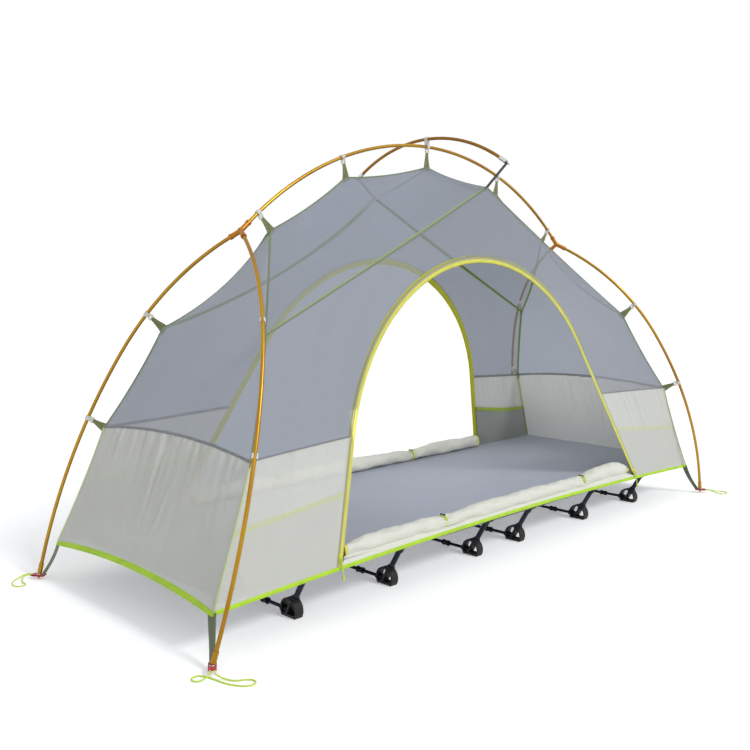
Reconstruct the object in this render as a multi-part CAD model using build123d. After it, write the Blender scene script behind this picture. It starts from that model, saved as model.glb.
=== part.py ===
"""Low folding cot with a tent built onto it, hung from an outside pole frame.

Millimetres. +X runs along the bed, -Y is the near side, +Z is up. The origin is on the
ground under the middle of the bed. The tent and the frame are symmetric in X and in Y.
"""
from build123d import *
from math import asin, atan, cos, degrees, hypot, radians, sin, sqrt, tan
import os

# Fits
running_fit = 0.05
soft_gap = 0.3
seat_gap = 0.1
section_seam = 0.1

# Bed plan and the places of the tent's clip points above it
bed_half_length = 950.0
bed_half_width = 320.0
base_z = 86.0
side_hem_rise = 21.0
end_hem_rise = 18.0
low_hip_from_end = 117.0
low_hip_from_side = 29.0
low_hip_z = 358.0
high_hip_from_end = 228.0
high_hip_from_side = 122.0
high_hip_z = 597.0
ridge_end_from_end = 402.0
ridge_end_z = 827.5
ridge_mid_x = 306.5
ridge_mid_z = 967.5
ridge_top_z = 1018.0
side_peak_from_side = 110.0
side_peak_z = 950.0

# Tent cloth
cloth = 2.0
binding_height = 9.0
side_seam_z = 365.0
end_seam_z = 360.0
end_seam_rise = 30.0

# Door arch: a steep side and a slanted side, with the top nearer the steep one
door_half_width = 625.0
door_top_x = 50.0
door_top_z = 757.0
steep_lean = 0.27
slant_lean = 0.60
zip_width = 11.0

# Rolled doors
roll_radius = 22.0
roll_neck_radius = 15.0
roll_end_radius = 12.0
roll_from_wall = 14.0
roll_end_gap = 12.0
near_tie_x = (-268.0, 340.0)
far_tie_x = (-300.0, 262.0)
tie_width = 7.0
tie_wall = 1.6
toggle_length = 12.0

# Corner pockets
pocket_hem_z = 240.0
pocket_gap = 3.0
pocket_cloth = 1.5

# Zip sliders and pulls
slider_start = 40.0
slider_length = 16.0
slider_width = 10.0
slider_tail_width = 7.0
slider_plate = 3.0
bridge_length = 9.0
bridge_width = 3.0
bridge_height = 2.0
pull_length = 46.0
pull_radius = 1.5
pull_knob_radius = 2.4
pull_knob_length = 9.0

# Bed sheet and rails
sheet_rise = 31.5
sheet_thickness = 1.5
rail_from_side = 20.0
rail_drop = 11.5
rail_radius = 7.0
rail_wall = 1.0
rail_from_end = 22.0
rail_sections = 4
ferrule_length = 60.0
plug_length = 22.0
plug_head = 4.0
plug_round = 2.4
sleeve_clearance = 0.5
sleeve_wall = 1.6
sleeve_web = 3.0
sleeve_end_margin = 42.0

# Leg units
leg_x_positions = (-700.0, -410.0, -92.0, 92.0, 410.0, 700.0)
foot_from_rail = 50.0
foot_sole_width = 44.0
foot_height = 42.0
foot_depth = 21.0
foot_rim = 4.5
foot_sole = 6.5
foot_spoke = 6.5
foot_hub_z = 20.0
tread_count = 4
tread_groove = 4.0
tread_depth = 2.2
strut_radius = 6.5
collar_radius = 9.0
collar_above_foot = 3.0
collar_in_foot = 14.0
strut_top = 12.5
strut_in_foot = 7.0
clip_wall = 3.2
clip_width = 25.0
clip_socket_end = 18.0
clip_notch_margin = 2.5
clip_mouth_angle = 110.0
cradle_gap = 0.3
cradle_lip = 3.5
rod_radius = 4.0
rod_z = 12.0
rod_seat = 9.0
rod_boss_radius = 7.0
rod_boss_length = 7.0
coupling_y = 160.0
coupling_radius = 6.5
coupling_length = 20.0
coupling_rim_radius = 7.5
coupling_rim_length = 4.0

# Pole frame
pole_radius = 4.3
hub_from_end = 317.0
hub_z = 823.0
ridge_apex_z = 1072.0
leg_tip_past_end = 25.0
leg_tip_past_side = 39.0
leg_tip_z = 18.0
leg_bow_run = 400.0
leg_bow_crown = 136.0
leg_bow_turn = 4.5
leg_tip_straight = 26.0
cross_tip_past_peak = 58.0
cross_tip_z = 1010.0
cross_apex_z = 1093.0
cross_tip_straight = 20.0

# Hubs and pole tips
socket_length = 32.0
socket_radius = 6.0
socket_collar_radius = 6.9
socket_collar_length = 6.0
socket_floor = 13.0
hub_ball_radius = 8.0
tip_cap_radius = 5.6
tip_cap_length = 20.0
tip_cap_floor = 3.0
tip_pin_radius = 2.4
tip_pin_length = 13.0
tip_bead_radius = 3.0

# Pole clips and straps
clip_ring_radius = 6.6
clip_ring_length = 10.0
clip_ring_mouth = 5.2
clip_neck = 3.4
clip_overlap = 1.0
clip_eye_offset = 12.0
clip_eye_width = 15.0
clip_eye_height = 8.0
clip_eye_slot = 3.0
clip_eye_thickness = 3.0
ridge_clip_x = (317.0, 582.0)
leg_clip_run = (291.0, 583.0)
strap_tent_width = 20.0
strap_clip_width = 9.0
strap_thickness = 1.6
strap_bury = 6.0
cross_strap_width = 6.0
cross_ring_wall = 1.8
cross_ring_length = 6.0

# Corner straps, tabs and peg loops
corner_strap_top_width = 24.0
corner_strap_low_width = 14.0
corner_strap_inset = 5.0
tab_z = 10.0
tab_thickness = 4.0
tab_width = 17.0
tab_inner = 15.0
tab_outer = 19.0
tab_hole_radius = 3.8
tab_corner = 2.0
cord_radius = 1.5
cord_bend_share = 0.45

# Tent points and pole ends of the quarter with x > 0 and y > 0
base_corner = Vector(bed_half_length, bed_half_width, base_z)
low_hip = Vector(bed_half_length - low_hip_from_end, bed_half_width - low_hip_from_side, low_hip_z)
high_hip = Vector(bed_half_length - high_hip_from_end, bed_half_width - high_hip_from_side, high_hip_z)
ridge_end = Vector(bed_half_length - ridge_end_from_end, 0, ridge_end_z)
ridge_mid = Vector(ridge_mid_x, 0, ridge_mid_z)
ridge_top = Vector(0, 0, ridge_top_z)
side_peak = Vector(0, bed_half_width - side_peak_from_side, side_peak_z)
hub_x = bed_half_length - hub_from_end
leg_tip = Vector(bed_half_length + leg_tip_past_end, bed_half_width + leg_tip_past_side, leg_tip_z)

# Derived places of the bed, its rails and its feet
rail_y = bed_half_width - rail_from_side
rail_half_length = bed_half_length - rail_from_end
foot_y = rail_y - foot_from_rail
sheet_top = base_z + sheet_rise
sheet_bottom = sheet_top - sheet_thickness
rail_z = sheet_bottom - rail_drop
sleeve_inner = rail_radius + sleeve_clearance
sleeve_outer = sleeve_inner + sleeve_wall
clip_outer = rail_radius + clip_wall

# Cutting tools reach far beyond the part, and past the faces that they open
reach = 3 * bed_half_length
tool_margin = 1.0

X = Vector(1, 0, 0)
Y = Vector(0, 1, 0)
Z = Vector(0, 0, 1)

os.makedirs("parts", exist_ok=True)


def save(node, solids):
    """Write one node's solids to its own file."""
    solids = [solid for shape in solids for solid in shape.solids()]
    export_step(Compound(children=solids), f"parts/{node}.step")


def in_x(shape):
    """The shape mirrored to the other end of the bed."""
    return mirror(shape, about=Plane.YZ)


def in_y(shape):
    """The shape mirrored to the other side of the bed."""
    return mirror(shape, about=Plane.XZ)


def turned(shape):
    """The shape turned half way round to the opposite corner of the bed."""
    return in_x(in_y(shape))


def both_ends(shapes):
    return shapes + [in_x(shape) for shape in shapes]


def four_corners(shapes):
    pair = both_ends(shapes)
    return pair + [in_y(shape) for shape in pair]


def block(low, high):
    """Box between two corners."""
    size = Vector(*high) - Vector(*low)
    middle = (Vector(*high) + Vector(*low)) * 0.5
    return Pos(middle) * Box(size.X, size.Y, size.Z)


def rod(start, end, radius):
    """Round bar between two points."""
    along = end - start
    flat = (Align.CENTER, Align.CENTER, Align.MIN)
    return Plane(origin=start, z_dir=along) * Cylinder(radius, along.length, align=flat)


def plate(start, end, across, start_width, end_width, thickness):
    """Flat tapered strip from start to end, with its width along across."""
    along = (end - start).normalized()
    normal = along.cross(across).normalized()
    side = normal.cross(along)
    corners = [
        start + side * (start_width / 2),
        end + side * (end_width / 2),
        end - side * (end_width / 2),
        start - side * (start_width / 2),
    ]
    return extrude(Face(Wire.make_polygon(corners)), thickness / 2, dir=normal, both=True)


# Tent cloth: one closed form, hollowed and divided along the seams


def tent_form(inset):
    """Closed volume of the pitched tent, with every point drawn in by the inset."""

    def at(point, x_sign, y_sign):
        x = max(point.X - inset, 0) * x_sign
        y = max(point.Y - inset, 0) * y_sign
        return Vector(x, y, point.Z - inset)

    def panel(*points):
        return Face(Wire.make_polygon(points))

    faces = []
    for end in (1, -1):
        low_hips = [at(low_hip, end, 1), at(low_hip, end, -1)]
        hips = [at(high_hip, end, 1), at(high_hip, end, -1)]
        faces.append(panel(at(base_corner, end, -1), at(base_corner, end, 1), *low_hips))
        faces.append(panel(*reversed(low_hips), *hips))
        faces.append(panel(*hips, at(ridge_end, end, 1)))
        for side in (1, -1):
            peak = at(side_peak, 1, side)
            faces.append(panel(at(base_corner, end, side), at(low_hip, end, side), peak))
            faces.append(panel(at(low_hip, end, side), at(high_hip, end, side), peak))
            faces.append(panel(at(high_hip, end, side), at(ridge_end, end, 1), peak))
            faces.append(panel(at(ridge_end, end, 1), at(ridge_mid, end, 1), peak))
            faces.append(panel(at(ridge_mid, end, 1), at(ridge_top, 1, 1), peak))
    for side in (1, -1):
        faces.append(panel(at(base_corner, -1, side), at(base_corner, 1, side), at(side_peak, 1, side)))
    faces.append(panel(*[at(base_corner, *signs) for signs in ((1, 1), (-1, 1), (-1, -1), (1, -1))]))
    return Solid(Shell(faces))


def below_hem(margin):
    """Everything under the hem, or under a line above it: the straps draw its corners down."""
    side = (Plane.XZ, bed_half_length, side_hem_rise)
    end = (Plane.YZ, bed_half_width, end_hem_rise)
    cuts = []
    for plane, half, rise in (side, end):
        left, right = (-half, base_z + margin), (half, base_z + margin)
        hem = ThreePointArc(left, (0, base_z + margin + rise), right)
        under = Polyline(right, (half, -base_z), (-half, -base_z), left)
        cuts.append(extrude(plane * make_face([hem, under]), amount=reach, both=True))
    return cuts[0] + cuts[1]


def upright(*plan_points):
    """Tall prism on a plan outline, used to divide the tent along its seams."""
    return extrude(make_face(Polyline(*plan_points, close=True)), amount=reach, both=True)


def end_zone():
    """Everything outside the hip seams of the +X end."""
    run_out = base_corner + (base_corner - low_hip)
    hip = [(p.X, p.Y) for p in (high_hip, low_hip, base_corner, run_out)]
    mirrored = [(x, -y) for x, y in reversed(hip)]
    return upright((ridge_end.X, 0), *hip, *mirrored)


def roof_zone():
    """The +X +Y quarter of the roof, between the ridge, the peak and the hip."""
    return upright((0, 0), (ridge_end.X, 0), (high_hip.X, high_hip.Y), (0, side_peak.Y))


class DoorSide:
    """One side of the door arch, on +X: a straight run that leans in, then an arc to the top."""

    def __init__(self, lean, top_x):
        slope = hypot(1, lean)
        corner_x = door_half_width - lean * (door_top_z - base_z)
        self.lean = lean
        self.radius = (corner_x - top_x) * (lean + slope)
        self.centre = Vector(top_x, 0, door_top_z - self.radius)
        self.upward = Vector(-lean, 0, 1) / slope
        self.outward = Vector(1, 0, lean) / slope

    def edge_x(self, z):
        """How far out the straight run is at a height."""
        return door_half_width - self.lean * (z - base_z)

    def points(self, margin, sign):
        """Low end, end of the straight run, middle of the arc and top, widened by the margin."""
        radius = self.radius + margin
        bend = self.centre + self.outward * radius
        middle = self.centre + (self.outward + Z).normalized() * radius
        low = bend - self.upward * reach
        return [(sign * point.X, point.Z) for point in (low, bend, middle, self.centre + Z * radius)]


steep_side = DoorSide(steep_lean, door_top_x)
slant_side = DoorSide(slant_lean, -door_top_x)


def door_shape(margin):
    """Tall prism of the far door's arch, widened by the margin, with its steep side on +X."""
    steep_low, steep_bend, steep_middle, top = steep_side.points(margin, 1)
    slant_low, slant_bend, slant_middle, _ = slant_side.points(margin, -1)
    arch = [
        Line(slant_low, steep_low),
        Line(steep_low, steep_bend),
        ThreePointArc(steep_bend, steep_middle, top),
        ThreePointArc(top, slant_middle, slant_bend),
        Line(slant_bend, slant_low),
    ]
    return extrude(Plane.XZ * make_face(arch), amount=bed_half_length, both=True)


def tent_cloth():
    """All sewn pieces of the tent, divided along its seams, as a dictionary of nodes."""
    shell = tent_form(0) - tent_form(cloth)
    ends = [end_zone(), in_x(end_zone())]
    roofs = four_corners([roof_zone()])
    below_binding = below_hem(binding_height)
    binding = (shell & below_binding) - below_hem(0)
    shell = shell - below_binding
    roof = [shell & zone for zone in roofs]
    end_walls = [shell & zone for zone in ends]
    seam_left, seam_right = (-bed_half_width, end_seam_z), (bed_half_width, end_seam_z)
    seam_arc = ThreePointArc(seam_left, (0, end_seam_z + end_seam_rise), seam_right)
    seam_floor = Polyline(seam_right, (bed_half_width, 0), (-bed_half_width, 0), seam_left)
    below_end_seam = extrude(Plane.YZ * make_face([seam_arc, seam_floor]), amount=reach, both=True)
    below_side_seam = block((-reach, -reach, -reach), (reach, reach, side_seam_z))
    far_side = block((-reach, 0, -reach), (reach, reach, reach))
    zip_ring = door_shape(zip_width) - door_shape(0)
    walls = shell - ends - roofs
    far_wall = walls & far_side
    far_zip = far_wall & zip_ring
    far_wall = far_wall - door_shape(zip_width)
    far_low = far_wall & below_side_seam
    far_mesh = far_wall - below_side_seam
    pockets = corner_pockets(ends)
    return {
        "roof_panels": roof,
        "end_wall_mesh": [wall - below_end_seam for wall in end_walls],
        "end_lower_panels": [wall & below_end_seam for wall in end_walls],
        "near_wall_mesh": [turned(far_mesh)],
        "far_wall_mesh": [far_mesh],
        "near_lower_panels": [turned(far_low)],
        "far_lower_panels": [far_low],
        "near_door_zip": [turned(far_zip)],
        "far_door_zip": [far_zip],
        "base_binding": [binding],
        "corner_pockets": [pockets, turned(pockets)],
    }


def corner_pockets(ends):
    """Flat pockets inside the far lower panels, from the floor to a straight hem."""
    liner = tent_form(cloth + pocket_gap) - tent_form(cloth + pocket_gap + pocket_cloth)
    low = (-reach, 0, sheet_top + soft_gap)
    high = (reach, bed_half_width, pocket_hem_z)
    return (liner & block(low, high)) - ends - door_shape(zip_width + pocket_gap)


# Rolled-up doors


def roll_axis():
    """Middle of the far door roll: on the edge of the bed sheet, in the doorway."""
    z = sheet_top + soft_gap + roll_radius
    wall_y = bed_half_width - wall_slope() * (z - base_z)
    return Vector(0, wall_y - roll_from_wall, z)


def wall_slope():
    """How far a door wall leans in for each unit of height."""
    return (bed_half_width - side_peak.Y) / (side_peak.Z - base_z)


def door_roll(tie_x):
    """Soft roll across the far doorway, drawn in under its two ties and at its ends."""
    height = roll_axis().Z
    left = (roll_end_gap - slant_side.edge_x(height), roll_end_radius)
    right = (steep_side.edge_x(height) - roll_end_gap, roll_end_radius)
    neck_starts = [(x - tie_width / 2, roll_neck_radius) for x in tie_x]
    neck_ends = [(x + tie_width / 2, roll_neck_radius) for x in tie_x]
    profile = [Polyline(right, (right[0], 0), (left[0], 0), left)]
    profile += [Line(start, end) for start, end in zip(neck_starts, neck_ends)]
    for start, end in zip([left] + neck_ends, neck_starts + [right]):
        profile.append(ThreePointArc(start, ((start[0] + end[0]) / 2, roll_radius), end))
    return Pos(roll_axis()) * revolve(make_face(profile), Axis.X)


def roll_tie():
    """Band round the neck of a roll, with the toggle that fastens it on top."""
    inner = roll_neck_radius + soft_gap
    along = X * (tie_width / 2)
    band = rod(-along, along, inner + tie_wall)
    toggle = Pos(0, 0, inner + tie_wall) * Box(tie_width, toggle_length, 2 * tie_wall)
    return band + toggle - rod(-along * 2, along * 2, inner)


# Zip sliders and their pulls


def slider_plane(side):
    """Seat of a slider on a side of the arch, on +X +Y: on the zip, facing out of the wall."""
    start = Vector(door_half_width, 0, base_z) + side.upward * slider_start
    middle = start + side.outward * (zip_width / 2)
    lean = wall_slope()
    y = bed_half_width - lean * (middle.Z - base_z)
    upward = Vector(side.upward.X, -lean * side.upward.Z, side.upward.Z).normalized()
    normal = Vector(0, 1, lean).normalized()
    return Plane(origin=(middle.X, y, middle.Z), x_dir=upward, z_dir=normal)


def zip_slider(side):
    """Slider body with a nose that narrows upwards and a bridge for its pull."""
    nose = slider_length / 2
    outline = Polyline(
        (-nose, -slider_tail_width / 2),
        (0, -slider_width / 2),
        (nose, -slider_tail_width / 2),
        (nose, slider_tail_width / 2),
        (0, slider_width / 2),
        (-nose, slider_tail_width / 2),
        close=True,
    )
    body = extrude(make_face(outline), slider_plate)
    stand = (Align.CENTER, Align.CENTER, Align.MIN)
    bridge = Box(bridge_length, bridge_width, slider_plate + bridge_height, align=stand)
    return slider_plane(side) * Pos(0, 0, soft_gap) * (body + bridge)


def pull_pivot(side):
    """Where a pull turns: in front of the lower end of its slider's bridge."""
    seat = slider_plane(side)
    lift = soft_gap + slider_plate + bridge_height + soft_gap + pull_radius
    return seat.origin - seat.x_dir * (bridge_length / 2) + seat.z_dir * lift


def zip_pull(side):
    """Cord pull with a round top and a moulded end, hanging along the wall from its pivot."""
    upward = Vector(0, -wall_slope(), 1).normalized()
    round_top = Vector(pull_radius, pull_radius).normalized() * pull_radius
    knob_top = pull_knob_length - pull_length
    outline = [
        ThreePointArc((0, pull_radius), (round_top.X, round_top.Y), (pull_radius, 0)),
        Polyline(
            (pull_radius, 0),
            (pull_radius, knob_top),
            (pull_knob_radius, knob_top),
            (pull_knob_radius, -pull_length),
            (0, -pull_length),
            (0, pull_radius),
        ),
    ]
    seat = Plane(origin=pull_pivot(side), x_dir=X, z_dir=X.cross(upward))
    return seat * revolve(make_face(outline), Axis.Y)


# Bed sheet, sleeves and rails


def bed_sheet():
    """Sheet sewn to the inside of the tent walls all round."""
    return tent_form(cloth) & block((-reach, -reach, sheet_bottom), (reach, reach, sheet_top))


def rail_sleeves():
    """Sleeves of the far rail, hung from the sheet and open where the legs clip on."""
    notch = clip_width / 2 + clip_notch_margin
    limit = bed_half_length - sleeve_end_margin
    starts = [-limit] + [x + notch for x in leg_x_positions]
    ends = [x - notch for x in leg_x_positions] + [limit]
    runs = []
    for start, end in zip(starts, ends):
        tube = rod(Vector(start, rail_y, rail_z), Vector(end, rail_y, rail_z), sleeve_outer)
        web = block((start, rail_y - sleeve_web / 2, rail_z), (end, rail_y + sleeve_web / 2, sheet_bottom))
        bore = rod(Vector(-reach, rail_y, rail_z), Vector(reach, rail_y, rail_z), sleeve_inner)
        runs.append(tube + web - bore)
    return runs


def rail():
    """Sections of the far rail, end to end."""
    step = 2 * rail_half_length / rail_sections
    bore = rod(Vector(-reach, rail_y, rail_z), Vector(reach, rail_y, rail_z), rail_radius - rail_wall)
    sections = []
    for index in range(rail_sections):
        start = -rail_half_length + index * step
        end = start + step - section_seam
        section = rod(Vector(start + section_seam, rail_y, rail_z), Vector(end, rail_y, rail_z), rail_radius)
        sections.append(section - bore)
    return sections


def rail_inserts():
    """Ferrules inside the joints of the far rail, and a headed plug in each end."""
    radius = rail_radius - rail_wall - seat_gap
    step = 2 * rail_half_length / rail_sections
    inserts = []
    for index in range(1, rail_sections):
        middle = Vector(-rail_half_length + index * step, rail_y, rail_z)
        inserts.append(rod(middle - X * (ferrule_length / 2), middle + X * (ferrule_length / 2), radius))
    end = Vector(rail_half_length, rail_y, rail_z)
    plug = rod(end - X * plug_length, end + X * plug_head, radius)
    head = fillet(rod(end, end + X * plug_head, rail_radius).edges().sort_by(Axis.X)[-1], plug_round)
    return inserts + both_ends([plug + head])


# Leg units


def strut_direction():
    """From the far rail down to the middle of the far foot."""
    return Vector(0, foot_y - rail_y, foot_hub_z - rail_z).normalized()


def along_strut(distance):
    return Vector(0, rail_y, rail_z) + strut_direction() * distance


def foot_top():
    """Distance along the strut at which it reaches the top of the foot."""
    return (foot_height - rail_z) / strut_direction().Z


def foot_radius():
    """Radius of the round of the foot, which stands on a flat sole."""
    return ((foot_sole_width / 2) ** 2 + foot_height**2) / (2 * foot_height)


def foot_section(inset, floor):
    """Round section of the foot, drawn in by the inset and cut off level at a floor."""
    radius = foot_radius() - inset
    half = sqrt(radius**2 - (floor - foot_height + foot_radius()) ** 2)
    arc = ThreePointArc((-half, floor), (0, foot_height - inset), (half, floor))
    return make_face([arc, Line((half, floor), (-half, floor))])


def foot():
    """Far foot: a D-shaped ring with a spoke in line with the strut and a treaded sole."""
    outer, window = foot_section(0, 0), foot_section(foot_rim, foot_sole)
    face_plane = Plane(origin=(0, foot_y, 0), x_dir=Y, z_dir=X)
    ring = extrude(face_plane * (outer - window), foot_depth / 2, both=True)
    whole = extrude(face_plane * outer, foot_depth / 2, both=True)
    hub = Vector(0, foot_y, foot_hub_z)
    spoke = plate(hub + strut_direction() * foot_height, hub - strut_direction() * foot_height, X,
                  foot_depth, foot_depth, foot_spoke) & whole
    collar_start, collar_end = foot_top() - collar_above_foot, foot_top() + collar_in_foot
    collar = rod(along_strut(collar_start), along_strut(collar_end), collar_radius)
    boss_y = foot_y - foot_radius()
    boss_start = Vector(0, boss_y - rod_boss_length, rod_z)
    boss_end = Vector(0, boss_y + rod_seat + foot_rim, rod_z)
    boss = rod(boss_start, boss_end, rod_boss_radius)
    body = ring + spoke + collar + boss
    body -= rod(along_strut(0), along_strut(foot_top() + strut_in_foot + seat_gap), strut_radius + seat_gap)
    body -= rod(Vector(0, 0, rod_z), Vector(0, boss_y + rod_seat + seat_gap, rod_z), rod_radius + seat_gap)
    pitch = foot_sole_width / (tread_count + 1)
    for index in range(tread_count):
        y = foot_y - foot_sole_width / 2 + (index + 1) * pitch
        low = (-foot_depth, y - tread_groove / 2, -tool_margin)
        body -= block(low, (foot_depth, y + tread_groove / 2, tread_depth))
    return body


def strut():
    return rod(along_strut(strut_top), along_strut(foot_top() + strut_in_foot), strut_radius)


def cross_rod():
    """Three sections of the cross rod, from foot to foot, meeting inside the couplings."""
    end = foot_y - foot_radius() + rod_seat
    stations = (-end, -coupling_y, coupling_y, end)
    return [rod(Vector(0, a, rod_z), Vector(0, b, rod_z), rod_radius) for a, b in zip(stations, stations[1:])]


def coupling():
    start = Vector(0, coupling_y - coupling_length / 2, rod_z)
    end = Vector(0, coupling_y + coupling_length / 2, rod_z)
    rim = Y * coupling_rim_length
    body = rod(start, end, coupling_radius)
    body += rod(start, start + rim, coupling_rim_radius) + rod(end - rim, end, coupling_rim_radius)
    return body - rod(start - Y, end + Y, rod_radius + seat_gap)


def clip_socket():
    """Socket of a rail clip that takes the top of the strut."""
    body = rod(along_strut(rail_radius), along_strut(clip_socket_end), collar_radius)
    floor, mouth = along_strut(strut_top - seat_gap), along_strut(clip_socket_end + tool_margin)
    return body - rod(floor, mouth, strut_radius + seat_gap)


def far_clip():
    """C-shaped clip that turns on the far rail, with its mouth facing out and up."""
    left = Vector(-clip_width / 2, rail_y, rail_z)
    right = Vector(clip_width / 2, rail_y, rail_z)
    ring = rod(left, right, clip_outer)
    half_mouth = radians(clip_mouth_angle / 2)
    mouth = Polyline((0, 0), (reach * cos(half_mouth), reach * sin(half_mouth)),
                     (reach * cos(half_mouth), -reach * sin(half_mouth)), close=True)
    facing = Plane(origin=(0, rail_y, rail_z), x_dir=-strut_direction(), z_dir=X)
    body = ring + clip_socket() - extrude(facing * make_face(mouth), clip_width, both=True)
    return body - rod(left - X, right + X, rail_radius + running_fit)


def near_clip():
    """Open cradle that drops off the near rail when the leg swings down, drawn on the far side."""
    bore = rail_radius + cradle_gap
    left = Vector(-clip_width / 2, rail_y, rail_z)
    right = Vector(clip_width / 2, rail_y, rail_z)
    cheek_low = (-clip_width / 2, rail_y - clip_outer, rail_z)
    cheeks = block(cheek_low, (clip_width / 2, rail_y + clip_outer, rail_z + cradle_lip))
    body = rod(left, right, clip_outer) & block((-reach, -reach, -reach), (reach, reach, rail_z))
    body = body + cheeks + clip_socket()
    slot = block((-reach, rail_y - bore, rail_z), (reach, rail_y + bore, rail_z + clip_outer))
    return body - rod(left - X, right + X, bore) - slot


# Pole frame


class Bow:
    """Half of a bent pole: straight out of its socket, then one arc up to its crown."""

    def __init__(self, start, towards, up, run, crown, straight):
        towards = towards.normalized()
        self.plane = Plane(origin=start, x_dir=towards, z_dir=towards.cross(up))
        self.run = run
        self.straight = straight
        self.angle = 2 * atan(crown / (run + straight))
        self.radius = (run - straight * cos(self.angle)) / sin(self.angle)
        self.centre = (run, crown - self.radius)

    def place(self, x, y):
        return self.plane.from_local_coords(Vector(x, y, 0))

    def along(self, distance):
        """Point on the straight stretch."""
        return self.place(distance * cos(self.angle), distance * sin(self.angle))

    def direction(self):
        return (self.along(self.straight) - self.along(0)).normalized()

    def at_run(self, run):
        """Point and tangent of the arc at a distance along the chord."""
        lean = asin((self.run - run) / self.radius)
        point = self.place(run, self.centre[1] + self.radius * cos(lean))
        ahead = self.place(run + cos(lean), self.centre[1] + self.radius * cos(lean) + sin(lean))
        return point, (ahead - point).normalized()

    def sections(self, seat):
        """Two pole sections from the seat in the socket to the crown."""
        turn = degrees(self.angle)
        seam = degrees(section_seam / self.radius)
        direction = Vector(cos(self.angle), sin(self.angle), 0)
        outer = Line(direction * seat, direction * self.straight)
        low = CenterArc(self.centre, self.radius, 90 + turn, seam - turn / 2)
        high = CenterArc(self.centre, self.radius, 90 + turn / 2 - seam, 2 * seam - turn / 2)
        paths = [Wire([outer.edge(), low.edge()]), Wire([high.edge()])]
        poles = []
        for path in paths:
            section = Plane(origin=path @ 0, z_dir=path % 0) * Circle(pole_radius)
            poles.append(self.plane * sweep(section, path=path))
        return poles


hub = Vector(hub_x, 0, hub_z)
ridge_bow = Bow(hub, -X, Z, hub_x, ridge_apex_z - hub_z, socket_length)
leg_chord = (leg_tip - hub).normalized()
leg_up = X.cross(leg_chord).normalized().rotate(Axis((0, 0, 0), leg_chord), leg_bow_turn)
leg_bow = Bow(hub, leg_chord, leg_up, leg_bow_run, leg_bow_crown, socket_length)
tip_run = (leg_tip - hub).length - leg_bow_run
tip_bow = Bow(leg_tip, -leg_chord, leg_up, tip_run, leg_bow_crown, leg_tip_straight)
cross_tip_y = side_peak.Y + cross_tip_past_peak
cross_tip = Vector(0, cross_tip_y, cross_tip_z)
cross_bow = Bow(cross_tip, -Y, Z, cross_tip_y, cross_apex_z - cross_tip_z, cross_tip_straight)


def pole_hub():
    """Three-way hub at the +X end: a ball with three collared sockets."""
    directions = [ridge_bow.direction(), leg_bow.direction()]
    directions.append(Vector(directions[1].X, -directions[1].Y, directions[1].Z))
    body = Pos(hub) * Sphere(hub_ball_radius)
    for direction in directions:
        mouth = hub + direction * socket_length
        body += rod(hub, mouth, socket_radius)
        body += rod(mouth - direction * socket_collar_length, mouth, socket_collar_radius)
    for direction in directions:
        floor = hub + direction * (socket_floor - seat_gap)
        body -= rod(floor, hub + direction * (socket_length + tool_margin), pole_radius + seat_gap)
    return body


def pole_tip(bow):
    """Cap over the end of a pole, with a turned pin below it."""
    axis = -bow.direction()
    end = bow.along(0)
    face = end + axis * tip_cap_floor
    cap = rod(bow.along(tip_cap_length), face, tip_cap_radius)
    pin = rod(face, face + axis * tip_pin_length, tip_pin_radius)
    bead = Pos(face + axis * (tip_pin_length - tip_pin_radius)) * Sphere(tip_bead_radius)
    bore = rod(bow.along(tip_cap_length + tool_margin), end + axis * seat_gap, pole_radius + seat_gap)
    return cap + pin + bead - bore


def clip_frame(point, tangent, target):
    """Plane of a clip: X towards the tent, Z along the pole."""
    inward = target - point
    inward = (inward - tangent * inward.dot(tangent)).normalized()
    return Plane(origin=point, x_dir=inward, z_dir=tangent)


def pole_clip():
    """Snap-on clip in its own frame: a split ring, a neck and a slotted eye for the strap."""
    ring = Circle(clip_ring_radius) - Circle(pole_radius + seat_gap)
    mouth = Pos(-clip_ring_radius, 0) * Rectangle(2 * clip_ring_radius, clip_ring_mouth)
    neck_end = clip_eye_offset - clip_eye_height / 2 + clip_overlap
    neck_start = clip_ring_radius - clip_overlap
    neck = Pos((neck_start + neck_end) / 2, 0) * Rectangle(neck_end - neck_start, clip_neck)
    body = extrude(ring - mouth + neck, clip_ring_length / 2, both=True)
    eye = Pos(clip_eye_offset, 0, 0) * Box(clip_eye_height, clip_eye_thickness, clip_eye_width)
    slot = Box(clip_eye_slot, 2 * clip_eye_thickness, clip_eye_width - 2 * clip_eye_slot)
    return body + eye - Pos(clip_eye_offset, 0, 0) * slot


def clip_stations():
    """Point on the pole, pole direction and tent point for each clip of one quarter."""
    stations = []
    for x, target in zip(ridge_clip_x, (ridge_mid, ridge_end)):
        stations.append((*ridge_bow.at_run(hub_x - x), target))
    upper, lower = leg_clip_run
    stations.append((*leg_bow.at_run(upper), high_hip))
    stations.append((*tip_bow.at_run((leg_tip - hub).length - lower), low_hip))
    return stations


def clip_strap(point, tangent, target, tent):
    """Webbing from a clip's eye down to a tent point, widening to the sewn end."""
    frame = clip_frame(point, tangent, target)
    start = point + frame.x_dir * clip_eye_offset
    buried = target + (target - start).normalized() * strap_bury
    strip = plate(start, buried, tangent, strap_clip_width, strap_tent_width, strap_thickness)
    beside_clip = clip_eye_offset + clip_eye_height / 2 + soft_gap
    cut = Box(reach, reach, reach, align=(Align.MAX, Align.CENTER, Align.CENTER))
    return strip - tent - frame * Pos(beside_clip, 0, 0) * cut


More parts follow.
